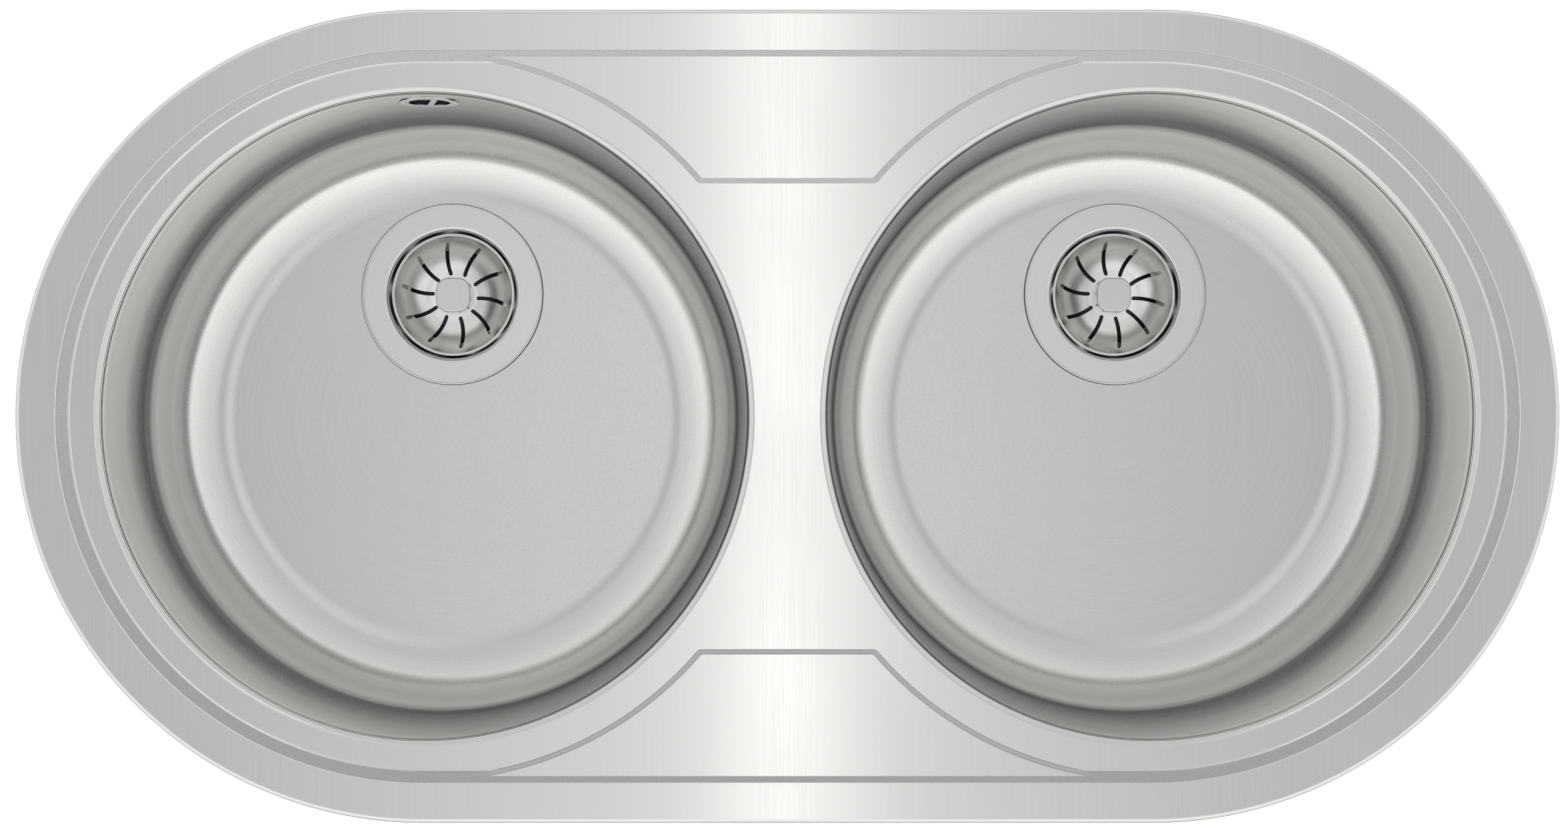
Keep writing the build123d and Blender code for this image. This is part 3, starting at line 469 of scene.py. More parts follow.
class SINK_OT_materials(bpy.types.Operator):
    """Make the sink's steel, rubber, foam and plastic"""
    bl_idname = "sink.materials"
    bl_label = "Materials"

    def execute(self, context):
        colours = context.scene.sink_colours
        straight_grain()
        round_grain()
        mottle()
        for name, base, settings in (
                ("deck", colours.deck, {"roughness": 0.15, "relief": 1.2, "tone": 0.02}),
                ("step", colours.step, {"roughness": 0.3, "relief": 4, "speckle": 0.08}),
                # The bend finish is a painted highlight along the deck's lower bends.
                ("bend", colours.bend, {"tone": 0.015}),
                ("mouth", colours.mouth, {"roughness": 0.25, "tone": 0.015}),
                ("shell", colours.bowl, {"roughness": 0.3, "relief": 2})):
            grained_steel(name, base, "StraightGrain", **settings)
        for side, sign in SIDES:
            drain = (sign * BOWL_X, DRAIN_Y, 0)
            grained_steel(side + "_bowl", colours.bowl, "RoundGrain", (sign * BOWL_X, 0, 0),
                          roughness=0.17, relief=1.5, speckle=0.03, drawn=True)
            grained_steel(side + "_flange", colours.flange, "RoundGrain", drain,
                          roughness=0.22, relief=1.5)
            grained_steel(side + "_basket", colours.basket, "RoundGrain", drain,
                          roughness=0.25, dish_rim=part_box(side + "_basket")[1].z)
            grained_steel(side + "_knob", colours.knob, "StraightGrain", drain, relief=2)
        # Painted shade on the lower half of the rolled rim.
        moulded("painted_rim_shade", colours.painted_rim_shade, 0.5, metallic=1.0)
        moulded("bright", colours.screw, 0.22, relief=10, metallic=1.0)
        moulded("zinc", colours.clip, 0.34, tone=0.12, metallic=1.0)
        moulded("rubber", colours.rubber, 0.55)
        moulded("foam", colours.foam, 0.85, relief=200)
        moulded("pad", colours.pad, 0.7, relief=200)
        moulded("plastic", colours.plastic, 0.38, tone=0.02)
        # Painted shade inside the overflow elbow.
        moulded("painted_chamber_shade", colours.painted_chamber_shade, 0.6, tone=0.02)
        moulded("hose", colours.hose, 0.42, tone=0.03)
        return {"FINISHED"}


class SINK_OT_cad_nodes(bpy.types.Operator):
    """Give the frame's own nodes their materials"""
    bl_idname = "sink.cad_nodes"
    bl_label = "Frame Nodes"

    def execute(self, context):
        for node, name in FINISHES.items():
            slots = frame["nodes"][node].data.materials
            for index in range(len(slots)):
                slots[index] = finish(name)
        return {"FINISHED"}


# ---------------------------------------------------------------- mesh tools

SHARP = 30.0
SAME_PLANE = 0.6


def arc_points(centre, radius, start, end, steps):
    """Points (radius, height) on an arc from one direction to another, in degrees."""
    turns = [math.radians(start + (end - start) * step / steps) for step in range(steps + 1)]
    return [(centre[0] + radius * math.cos(turn), centre[1] + radius * math.sin(turn))
            for turn in turns]


def rounded(corners, steps=10):
    """Polyline (radius, height) whose corners (r, z, fillet) are rounded by true arcs."""
    points = []
    for index, (r, z, fillet) in enumerate(corners):
        if fillet == 0:
            points.append((r, z))
            continue
        here = Vector((r, z))
        back = (Vector(corners[index - 1][:2]) - here).normalized()
        ahead = (Vector(corners[index + 1][:2]) - here).normalized()
        half = back.angle(ahead) / 2
        centre = here + (back + ahead).normalized() * fillet / math.sin(half)
        reach = fillet / math.tan(half)
        first = here + back * reach - centre
        sweep = first.angle_signed(here + ahead * reach - centre)
        for step in range(steps + 1):
            turned = first.copy()
            turned.rotate(Matrix.Rotation(-sweep * step / steps, 2))
            points.append(tuple(centre + turned))
    return points


def only(geom, kind):
    """The corners or the edges among what a mesh operator gives."""
    return [item for item in geom if isinstance(item, kind)]


def chained(bm, points):
    """New corners at places and the edges that join them in a row."""
    verts = [bm.verts.new(point) for point in points]
    return verts, [bm.edges.new(pair) for pair in zip(verts, verts[1:])]


def merged(bm, distance=MERGE):
    bmesh.ops.remove_doubles(bm, verts=bm.verts, dist=distance)


def spun(points, segments, place=(0, 0, 0)):
    """Full spin of a chain of (radius, height) about a vertical axis through a place."""
    bm = bmesh.new()
    verts, edges = chained(bm, [(r, 0, z) for r, z in points])
    bmesh.ops.spin(bm, geom=verts + edges, cent=(0, 0, 0), axis=UP, angle=math.tau,
                   steps=segments, use_merge=True)
    merged(bm)
    bmesh.ops.translate(bm, vec=place, verts=bm.verts)
    return bm


def swept(bm, geom, centre, degrees, steps):
    """Spin edges or corners about an upright axis; gives what the last step made."""
    return bmesh.ops.spin(bm, geom=geom, cent=centre, axis=UP, angle=math.radians(degrees),
                          steps=steps)["geom_last"]


def pulled(bm, geom, offset):
    """Extrude the edges in a straight line; gives what that makes."""
    made = bmesh.ops.extrude_edge_only(bm, edges=only(geom, EDGE))["geom"]
    bmesh.ops.translate(bm, vec=offset, verts=only(made, CORNER))
    return made


def mirrored(bm):
    """Make a whole of a quarter, about both middle planes."""
    for axis in ("X", "Y"):
        bmesh.ops.mirror(bm, geom=bm.verts[:] + bm.edges[:] + bm.faces[:], merge_dist=1e-6,
                         axis=axis)
    merged(bm)


def bent_edges(bm, degrees):
    """Edges whose two faces meet at more than an angle."""
    return [edge for edge in bm.edges
            if len(edge.link_faces) == 2 and edge.calc_face_angle(0) > math.radians(degrees)]


def bevelled(bm, degrees, width, segments):
    """Round the edges that bend more than an angle."""
    bmesh.ops.bevel(bm, geom=bent_edges(bm, degrees), offset=width, offset_type="OFFSET",
                    segments=segments, profile=0.5, affect="EDGES", material=-1)


def vert_at(bm, place, slack=1e-5):
    """The corner of a mesh nearest to a place."""
    found = min(bm.verts, key=lambda vert: (vert.co - Vector(place)).length)
    if (found.co - Vector(place)).length > slack:
        raise ValueError("no corner at %s" % (place,))
    return found


def chain_from(start, height, slack=1e-6):
    """Corners of an open chain of edges at one height, from one end to the other."""
    chain, seen = [start], {start}
    while True:
        ahead = [edge.other_vert(chain[-1]) for edge in chain[-1].link_edges]
        ahead = [vert for vert in ahead if vert not in seen and abs(vert.co.z - height) < slack]
        if not ahead:
            return chain
        chain.append(ahead[0])
        seen.add(ahead[0])


def ring_of(bm, radius, height, centre=(0.0, 0.0), slack=2e-5):
    """Edges whose both ends lie on a level circle."""
    def on(vert):
        away = math.hypot(vert.co.x - centre[0], vert.co.y - centre[1])
        return abs(vert.co.z - height) < slack and abs(away - radius) < slack
    return [edge for edge in bm.edges if on(edge.verts[0]) and on(edge.verts[1])]


def to_mesh(bm, name):
    """New mesh from a bmesh, which ends here."""
    mesh = bpy.data.meshes.new(name)
    bm.to_mesh(mesh)
    bm.free()
    return mesh


def shown(name, data):
    """New object in the scene."""
    thing = bpy.data.objects.new(name, data)
    bpy.context.scene.collection.objects.link(thing)
    return thing


def finished(bm, name, material, smooth_angle=35.0, faces_up=False):
    """Object from a bmesh, smooth up to an angle; faces_up turns an open sheet upwards."""
    bmesh.ops.recalc_face_normals(bm, faces=bm.faces)
    if faces_up and sum(face.normal.z * face.calc_area() for face in bm.faces) < 0:
        bmesh.ops.reverse_faces(bm, faces=bm.faces)
    for face in bm.faces:
        face.smooth = True
    for edge in bent_edges(bm, smooth_angle):
        edge.smooth = False
    piece = shown(name, to_mesh(bm, name))
    piece.data.materials.append(material)
    return piece


def walled(piece, thickness, back=0):
    """Give a sheet its thickness behind the modelled face; back is how far on its finish lies."""
    solid = piece.modifiers.new("Sheet", "SOLIDIFY")
    solid.thickness = thickness
    solid.offset = -1.0
    solid.use_even_offset = True
    solid.use_rim = True
    solid.material_offset = back


def evenly_shaded(piece):
    piece.modifiers.new("Even Shading", "WEIGHTED_NORMAL").keep_sharp = True


def placed(piece, node):
    """Let a piece take a frame node's place and body."""
    source = frame["nodes"][node]
    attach(piece, body_of(source)[0])
    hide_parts(node)


def edged(node, width, shape=None):
    """Copy of a frame node with its sharp edges rounded; it takes the node's place."""
    bm = bmesh.new()
    bm.from_mesh(frame["nodes"][node].data)
    merged(bm, CAD_MERGE)
    bmesh.ops.dissolve_limit(bm, angle_limit=math.radians(SAME_PLANE),
                             use_dissolve_boundaries=False, verts=bm.verts, edges=bm.edges)
    if shape:
        shape(bm)
    bevelled(bm, SHARP, width * MM, 2)
    piece = finished(bm, node + "_finished", finish(FINISHES[node]))
    evenly_shaded(piece)
    placed(piece, node)
    return piece


# ---------------------------------------------------------------- deck

END_STEPS = 72
PRESSED_BEND = 15
# Deck finishes: the dark rim finish is painted shade on the lower half of the rolled rim, and the
# bend finish is a painted highlight along the lower bends.
DECK_FINISHES = ("deck", "step", "painted_rim_shade", "bend", "mouth")
# How level a face lies, as its normal's upright part: flat, at a step's slope, down in a mouth.
LEVEL = 0.9995
GENTLE = 0.965
MOUTH_TURN = 0.93


def panel_side(bm, sizes, foot_z, top_z, step_y):
    """Sloped side of half a raised panel, from the middle to where it runs into the step."""
    corner_y = sizes.panel_edge + sizes.panel_corner
    reach = sizes.panel_arc + sizes.panel_corner
    corner_x = BOWL_X - math.sqrt(reach ** 2 - corner_y ** 2)
    lean = math.degrees(math.atan2(corner_y, BOWL_X - corner_x))
    _, edge = chained(bm, [(0, sizes.panel_edge, foot_z),
                           (0, sizes.panel_edge + sizes.panel_step, top_z)])
    made = pulled(bm, edge, (corner_x, 0, 0))
    last = [item for item in only(made, (CORNER, EDGE)) if all_at(item, corner_x)]
    last = swept(bm, last, (corner_x, corner_y, 0), 90 - lean, 10)
    arc_end = math.degrees(math.asin(step_y[0] / sizes.panel_arc))
    last = swept(bm, last, (BOWL_X, 0, 0), -(arc_end - lean), 36)
    tops = [vert for vert in only(last, CORNER) if vert.co.z > (foot_z + top_z) / 2]
    top_arc = sizes.panel_arc + sizes.panel_step
    tops[0].co = (BOWL_X - math.sqrt(top_arc ** 2 - step_y[1] ** 2), step_y[1], top_z)


def all_at(item, x, slack=1e-6):
    verts = [item] if isinstance(item, CORNER) else item.verts
    return all(abs(vert.co.x - x) < slack for vert in verts)


def deck_quarter(sizes, bowl):
    """Back right quarter of the pressed deck, with sharp bends and without the mouth's rounding."""
    deck_z = RIM_TOP - sizes.drop
    panel_z = deck_z + sizes.panel_rise
    top_y = HALF_Y - sizes.rim_width
    foot_y = top_y - sizes.slope_width
    panel_y = foot_y + sizes.slope_width * sizes.panel_rise / sizes.drop
    bm = bmesh.new()
    roll = arc_points((HALF_Y - RIM_TOP, 0), RIM_TOP, 0, 90, 9) + [(top_y, RIM_TOP)]
    verts, edges = chained(bm, [(END_X + r, 0, z) for r, z in roll])
    last = swept(bm, verts + edges, (END_X, 0, 0), 90, END_STEPS)
    pulled(bm, last, (-END_X, 0, 0))
    rim = bm.verts.new((END_X + foot_y, 0, deck_z))
    swept(bm, [rim, bm.edges.new((verts[-1], rim))], (END_X, 0, 0), 90, END_STEPS)
    merged(bm)
    foot_chain = chain_from(vert_at(bm, (END_X + foot_y, 0, deck_z)), deck_z)
    panel_side(bm, sizes, deck_z, panel_z, (foot_y, panel_y))
    panel_foot = chain_from(vert_at(bm, (0, sizes.panel_edge, deck_z)), deck_z)
    panel_top = chain_from(vert_at(bm, (0, sizes.panel_edge + sizes.panel_step, panel_z)), panel_z)
    middle_top = bm.verts.new((0, panel_y, panel_z))
    bm.faces.new([vert_at(bm, (0, top_y, RIM_TOP)), vert_at(bm, (END_X, top_y, RIM_TOP)),
                  foot_chain[-1], panel_foot[-1], panel_top[-1], middle_top])
    bm.faces.new(panel_top + [middle_top])
    ring = bm.verts.new((BOWL_X + bowl.radius + bowl.mouth_fillet, 0, deck_z))
    swept(bm, [ring], (BOWL_X, 0, 0), 180, bowl.segments // 2)
    mouth_chain = chain_from(ring, deck_z)
    bm.faces.new(foot_chain + panel_foot[::-1] + [bm.verts.new((0, 0, deck_z))]
                 + mouth_chain[::-1])
    return bm


def mouth_collar(bm, sign, sizes, bowl):
    """Turn the deck down round a bowl's mouth as far as the weld."""
    deck_z = RIM_TOP - sizes.drop
    radius = bowl.radius + bowl.mouth_fillet
    ring = ring_of(bm, radius, deck_z, (sign * BOWL_X, 0))
    weld = math.degrees(math.acos((WELD_Z - deck_z + bowl.mouth_fillet) / bowl.mouth_fillet))
    points = arc_points((radius, deck_z - bowl.mouth_fillet), bowl.mouth_fillet, 90, 90 + weld, 8)
    for before, (r, z) in zip(points, points[1:]):
        made = pulled(bm, ring, (0, 0, z - before[1]))
        size = r / before[0]
        bmesh.ops.scale(bm, vec=(size, size, 1), verts=only(made, CORNER),
                        space=Matrix.Translation((-sign * BOWL_X, 0, 0)))
        ring = [edge for edge in only(made, EDGE)
                if all(abs(vert.co.z - z) < 1e-6 for vert in edge.verts)]


def deck_mesh(sizes, bowl):
    bm = deck_quarter(sizes, bowl)
    mirrored(bm)
    bmesh.ops.recalc_face_normals(bm, faces=bm.faces)
    bevelled(bm, PRESSED_BEND, sizes.bend, 4)
    for _, sign in SIDES:
        mouth_collar(bm, sign, sizes, bowl)
    return bm


def deck_finish_at(place, level, sizes):
    """Which finish a face of the deck gets, from its place and from how level it lies."""
    inset = HALF_Y - math.hypot(max(abs(place.x) - END_X, 0), place.y)
    mouth_way = min(math.hypot(place.x - sign * BOWL_X, place.y) for _, sign in SIDES)
    # Painted shade: faces low on the rolled rim get the dark rim finish.
    if inset < RIM_TOP and place.z < sizes.painted_rim_shade:
        return "painted_rim_shade"
    if mouth_way < BOWL_X - sizes.panel_step:
        return "mouth" if level < MOUTH_TURN else "deck"
    if inset <= sizes.rim_width / 2 or level >= LEVEL:
        return "deck"
    if level <= GENTLE:
        return "step"
    # Painted highlight: gentle faces low at the step's foot get the lighter bend colour.
    return "bend" if place.z < RIM_TOP - sizes.drop + sizes.bend else "deck"


class SINK_OT_deck(bpy.types.Operator):
    """Press the deck with its rolled rim, sloped step, raised panels and turned-down mouths"""
    bl_idname = "sink.deck"
    bl_label = "Deck"

    def execute(self, context):
        sizes = context.scene.sink_deck
        bm = deck_mesh(sizes, context.scene.sink_bowl)
        for face in bm.faces:
            name = deck_finish_at(face.calc_center_median(), abs(face.normal.z), sizes)
            face.material_index = DECK_FINISHES.index(name)
        piece = finished(bm, "pressed_deck", finish(DECK_FINISHES[0]), faces_up=True)
        for name in DECK_FINISHES[1:]:
            piece.data.materials.append(finish(name))
        walled(piece, sizes.sheet)
        evenly_shaded(piece)
        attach(piece, "sink")
        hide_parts("deck_panel")
        bpy.data.objects["ceiling_strip"].light_linking.receiver_collection.objects.link(piece)
        return {"FINISHED"}


# ---------------------------------------------------------------- bowls

SEAT_DEPTH = 1.8 * MM
SEAT_HOLE = 42 * MM
SEAT_GAP = 0.5 * MM
FLAT_STRIP = 0.3 * MM


def wall_point(top, taper, height):
    return (top[0] - (top[1] - height) * math.tan(taper), height)


def mouth_centre(sizes):
    """Height of the middle of the mouth's rounding."""
    return WELD_Z + WELD_DEPTH - sizes.mouth_fillet


def bowl_profile(sizes):
    """Inside of a bowl from the weld in its mouth to the edge of its flat floor."""
    mouth_z = mouth_centre(sizes)
    weld_turn = 180 - math.degrees(math.asin((WELD_Z - mouth_z) / sizes.mouth_fillet))
    mouth = arc_points((sizes.radius + sizes.mouth_fillet, mouth_z), sizes.mouth_fillet,
                       weld_turn, 180 - math.degrees(sizes.wall_taper), 8)
    wall_top = mouth[-1]
    knuckle = wall_point(wall_top, sizes.wall_taper, RIM_TOP - sizes.knuckle_depth)
    bend_x = sizes.floor_edge + sizes.floor_fillet * math.tan(sizes.heel_lean / 2)
    run = math.tan(sizes.lower_taper)
    rise = math.tan(sizes.heel_lean)
    heel_r = ((knuckle[0] - (knuckle[1] - FLOOR_TOP) * run - bend_x * rise * run)
              / (1 - rise * run))
    heel = (heel_r, FLOOR_TOP + (heel_r - bend_x) * rise)
    beside = [(*wall_point(wall_top, sizes.wall_taper, middle("overflow_rosette", 2) + side), 0)
              for side in (sizes.plate_reach, -sizes.plate_reach)]
    lower = rounded([(*wall_top, 0), *beside, (*knuckle, sizes.knuckle_fillet),
                     (*heel, sizes.heel_fillet), (bend_x, FLOOR_TOP, sizes.floor_fillet),
                     (100 * MM, FLOOR_TOP, 0)], steps=20)
    return mouth[:-1] + lower[:-1]


def bowl_mesh(sizes):
    """One bowl about the origin, with the seat of its waste flange."""
    recess = FLANGE_RADIUS + SEAT_GAP
    keep = bowl_profile(sizes) + [(sizes.floor_edge - FLAT_STRIP, FLOOR_TOP)]
    bm = spun(keep, sizes.segments)
    seat_z = FLOOR_TOP - SEAT_DEPTH
    seat = to_mesh(spun([(recess, FLOOR_TOP), (recess, seat_z), (SEAT_HOLE, seat_z)],
                        sizes.segments, (0, DRAIN_Y, 0)), "seat")
    bm.from_mesh(seat)
    bpy.data.meshes.remove(seat)
    rims = ring_of(bm, *keep[-1]) + ring_of(bm, recess, FLOOR_TOP, (0, DRAIN_Y))
    bmesh.ops.bridge_loops(bm, edges=rims)
    return bm


def bored(piece, name, radius, place):
    """Cut a round hole from front to back through a sheet before it gets its thickness."""
    bm = bmesh.new()
    bmesh.ops.create_cone(bm, cap_ends=True, segments=64, radius1=radius, radius2=radius,
                          depth=40 * MM)
    turn = Vector(UP).rotation_difference(Vector((0, 1, 0))).to_matrix().to_4x4()
    bmesh.ops.transform(bm, matrix=Matrix.Translation(place) @ turn, verts=bm.verts)
    mesh = to_mesh(bm, name)
    cutter = shown(name, mesh)
    cut = piece.modifiers.new(name, "BOOLEAN")
    cut.operation = "DIFFERENCE"
    cut.object = cutter
    cut.solver = "EXACT"
    bpy.context.view_layer.update()
    graph = bpy.context.evaluated_depsgraph_get()
    cleaned = bpy.data.meshes.new_from_object(piece.evaluated_get(graph))
    piece.modifiers.clear()
    piece.data = cleaned
    bpy.data.objects.remove(cutter)
    bpy.data.meshes.remove(mesh)


class SINK_OT_bowls(bpy.types.Operator):
    """Draw the two bowls with their mouths, knuckles, floors and waste seats"""
    bl_idname = "sink.bowls"
    bl_label = "Bowls"

    def execute(self, context):
        sizes = context.scene.sink_bowl
        for side, sign in SIDES:
            bm = bowl_mesh(sizes)
            bmesh.ops.translate(bm, vec=(sign * BOWL_X, 0, 0), verts=bm.verts)
            piece = finished(bm, side + "_drawn_bowl", finish(side + "_bowl"), faces_up=True)
            if side == "left":
                wall = (middle("overflow_rosette", 0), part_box("overflow_rosette")[0].y,
                        middle("overflow_rosette", 2))
                bored(piece, "overflow_hole", sizes.overflow_hole, wall)
            piece.data.materials.append(finish("shell"))
            walled(piece, sizes.sheet, back=1)
            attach(piece, "sink")
            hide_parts(side + "_bowl")
        return {"FINISHED"}


# ---------------------------------------------------------------- wastes, overflow, fixings

FOOT_HALF = 0.48
CREST_HALF = 0.08


def turned_down(bm, centre, radius, slack, depth, on_thread):
    """Take a plain thread down to its root at the heights that on_thread allows."""
    for vert in bm.verts:
        away = Vector((vert.co.x - centre[0], vert.co.y - centre[1]))
        if on_thread(vert.co.z) and away.length > radius - slack:
            away *= (radius - depth) / away.length
            vert.co.x, vert.co.y = centre[0] + away.x, centre[1] + away.y


def thread(radius, depth, pitch, low, high, centre, segments):
    """Ridge of a screw thread that winds up round an upright shank."""
    bm = bmesh.new()
    foot = radius - depth - depth / 2
    ridge = ((foot, -FOOT_HALF), (radius, -CREST_HALF), (radius, CREST_HALF), (foot, FOOT_HALF))
    verts, edges = chained(bm, [(r, 0, low + pitch / 2 + pitch * z) for r, z in ridge])
    bmesh.ops.spin(bm, geom=verts + edges, cent=(0, 0, 0), axis=UP,
                   dvec=(0, 0, pitch / segments), angle=math.tau, steps=segments)
    turn = bm.verts[:] + bm.edges[:] + bm.faces[:]
    for _ in range(int((high - low - pitch) / pitch) - 1):
        turn = bmesh.ops.duplicate(bm, geom=turn)["geom"]
        bmesh.ops.translate(bm, vec=(0, 0, pitch), verts=only(turn, CORNER))
    merged(bm)
    bmesh.ops.translate(bm, vec=(*centre, 0), verts=bm.verts)
    return bm


def with_thread(piece, bm):
    """Add a thread's ridge to a finished piece's mesh."""
    bmesh.ops.recalc_face_normals(bm, faces=bm.faces)
    for face in bm.faces:
        face.smooth = True
    ridge = to_mesh(bm, "ridge")
    whole = bmesh.new()
    whole.from_mesh(piece.data)
    whole.from_mesh(ridge)
    whole.to_mesh(piece.data)
    whole.free()
    bpy.data.meshes.remove(ridge)


class SINK_OT_wastes(bpy.types.Operator):
    """Finish the strainer wastes with their baskets, seals and threaded bodies"""
    bl_idname = "sink.wastes"
    bl_label = "Wastes"

    def execute(self, context):
        sizes = context.scene.sink_hardware
        for side, sign in SIDES:
            for part, width in (("_flange_seal", 0.25), ("_body_seal", 0.7),
                                ("_basket_stopper", 0.25), ("_basket_stem", 0.1),
                                ("_fixing_screw", 0.15)):
                edged(side + part, width)
            self.flange_bead(side, sign)
            centre = (sign * BOWL_X, DRAIN_Y)

            def outlet(bm, centre=centre):
                top = min(vert.co.z for vert in bm.verts) + sizes.tail
                turned_down(bm, centre, sizes.tail_radius, 0.1 * MM, sizes.tail_thread,
                            lambda z: z < top)

            body = edged(side + "_waste_body", 0.5, outlet)
            with_thread(body, thread(sizes.tail_radius, sizes.tail_thread, sizes.tail_pitch,
                                     GROUND + 1.5 * MM, GROUND + sizes.tail, centre, 64))
        return {"FINISHED"}

    def flange_bead(self, side, sign):
        """Fine rolled bead round a waste flange."""
        half = 0.8 * MM
        centre = (FLANGE_RADIUS - half, FLOOR_TOP - 0.5 * MM)
        bm = spun(arc_points(centre, half, 0, 180, 8), 192, (sign * BOWL_X, DRAIN_Y, 0))
        piece = finished(bm, side + "_flange_bead", finish(side + "_flange"), smooth_angle=60)
        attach(piece, "sink")


PLATE_LEFT = 0.3
HEADS_LEFT = 0.25
HOSE_WALL = 0.6 * MM
RIB_STEPS = 10


class SINK_OT_overflow(bpy.types.Operator):
    """Finish the overflow: rosette, seal, elbow, ribbed hose and its nuts"""
    bl_idname = "sink.overflow"
    bl_label = "Overflow"

    def execute(self, context):
        for node in ("overflow_rosette", "overflow_screws"):
            edged(node, 0.06, self.pressed_in)
        edged("overflow_seal", 0.4)
        edged("overflow_hose_nuts", 0.5)
        self.elbow(context.scene.sink_bowl.overflow_hole + 0.5 * MM)
        self.hose(context.scene.sink_hardware)
        return {"FINISHED"}

    def pressed_in(self, bm):
        """Press the plate and its screw heads into a thin shell that follows the bowl wall."""
        bowl = bpy.context.scene.sink_bowl
        face_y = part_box("overflow_rosette")[0].y
        for vert in bm.verts:
            radius, _ = wall_point((bowl.radius, mouth_centre(bowl)), bowl.wall_taper, vert.co.z)
            wall = math.sqrt(radius ** 2 - (vert.co.x + BOWL_X) ** 2)
            depth = wall - vert.co.y
            if depth > 0:
                plate = min(depth, wall - face_y)
                vert.co.y = wall - PLATE_LEFT * plate - HEADS_LEFT * (depth - plate)

    def elbow(self, painted_chamber_shade):
        """White elbow whose inside, seen through the rosette, is coloured near black as painted
        shade.
        """
        elbow = edged("overflow_elbow", 0.4)
        elbow.data.materials.append(finish("painted_chamber_shade"))
        x, z = middle("overflow_rosette", 0), middle("overflow_rosette", 2)
        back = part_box("overflow_elbow")[1].y - 1 * MM
        # Painted shade: faces inside the elbow behind the overflow hole, short of its back, take
        # the dark finish.
        for face in elbow.data.polygons:
            inside = math.hypot(face.center.x - x, face.center.z - z) < painted_chamber_shade
            if inside and face.center.y < back:
                face.material_index = 1

    def hose(self, sizes):
        """Ribbed hose with plain cuffs, down from the elbow and forward to the waste."""
        low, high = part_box("overflow_hose")
        top = Vector((middle("overflow_hose", 0), high.y - sizes.hose_radius, high.z))
        bend_z = low.z + sizes.hose_radius + sizes.hose_bend
        lengths = (top.z - bend_z, sizes.hose_bend * math.pi / 2,
                   high.y - sizes.hose_radius - sizes.hose_bend - low.y)
        total = sum(lengths)
        cuff = 2 * sizes.hose_radius
        ribbed = total - 2 * cuff
        count = round(ribbed / sizes.rib_pitch)
        steps = count * RIB_STEPS
        stops = [cuff + ribbed * step / steps for step in range(steps + 1)] + [total]
        bm = bmesh.new()
        circle = bmesh.ops.create_circle(bm, segments=40, radius=sizes.hose_radius,
                                         matrix=Matrix.Translation(top))["verts"]
        ring = list({edge for vert in circle for edge in vert.link_edges})
        before = self.axis_at(0, lengths, top, sizes.hose_bend)
        for index, stop in enumerate(stops):
            size = 1.0
            if 0 < index < len(stops) - 1:
                turn = math.tau * index * count / steps
                rib = sizes.rib_depth * min(1.0, max(0.0, 0.5 - 0.9 * math.cos(turn)))
                size -= (sizes.rib_depth - rib) / sizes.hose_radius
            now = (self.axis_at(stop, lengths, top, sizes.hose_bend)
                   @ Matrix.Diagonal((size, size, 1, 1)))
            made = bmesh.ops.extrude_edge_only(bm, edges=ring)["geom"]
            verts = only(made, CORNER)
            ring = [edge for edge in only(made, EDGE) if all(vert in verts for vert in edge.verts)]
            for vert in verts:
                vert.co = now @ (before.inverted() @ vert.co)
            before = now
        piece = finished(bm, "ribbed_hose", finish("hose"), smooth_angle=60)
        walled(piece, HOSE_WALL)
        placed(piece, "overflow_hose")

    @staticmethod
    def axis_at(stop, lengths, top, bend):
        """Place and direction of the hose's axis at a distance along it."""
        down, arc, _ = lengths
        if stop <= down:
            return Matrix.Translation((top.x, top.y, top.z - stop))
        turn = min((stop - down) / arc, 1) * math.pi / 2
        centre = Vector((top.x, top.y - bend, top.z - down))
        swing = Matrix.Translation(centre) @ Matrix.Rotation(-turn, 4, "X")
        ahead = max(stop - down - arc, 0)
        return swing @ Matrix.Translation((0, bend, -ahead))


class SINK_OT_fixings(bpy.types.Operator):
    """Finish the brackets, claws, washers and threaded screws under the rim"""
    bl_idname = "sink.fixings"
    bl_label = "Fixings"

    def execute(self, context):
        sizes = context.scene.sink_hardware
        edged("clip_brackets", 0.25)
        for clip in CLIPS:
            edged(clip + "_washer", 0.15)
            edged(clip + "_claw", 0.25)
            centre = (middle(clip + "_screw", 0), middle(clip + "_screw", 1))
            head_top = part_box(clip + "_washer")[0].z

            def shank(bm, centre=centre, head_top=head_top):
                turned_down(bm, centre, sizes.screw_radius, 0.2 * MM, sizes.screw_thread,
                            lambda z: z > head_top + 0.5 * MM)

            piece = edged(clip + "_screw", 0.15, shank)
            with_thread(piece, thread(sizes.screw_radius, sizes.screw_thread, sizes.screw_pitch,
                                      head_top + 1.6 * MM,
                                      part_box(clip + "_screw")[1].z - 0.8 * MM, centre, 24))
        return {"FINISHED"}


SEAL_WIDTH = 6 * MM
SEAL_BULGE = 0.6 * MM
PAD_GROOVE = 0.5 * MM
PAD_GROOVE_HALF = 1.2 * MM


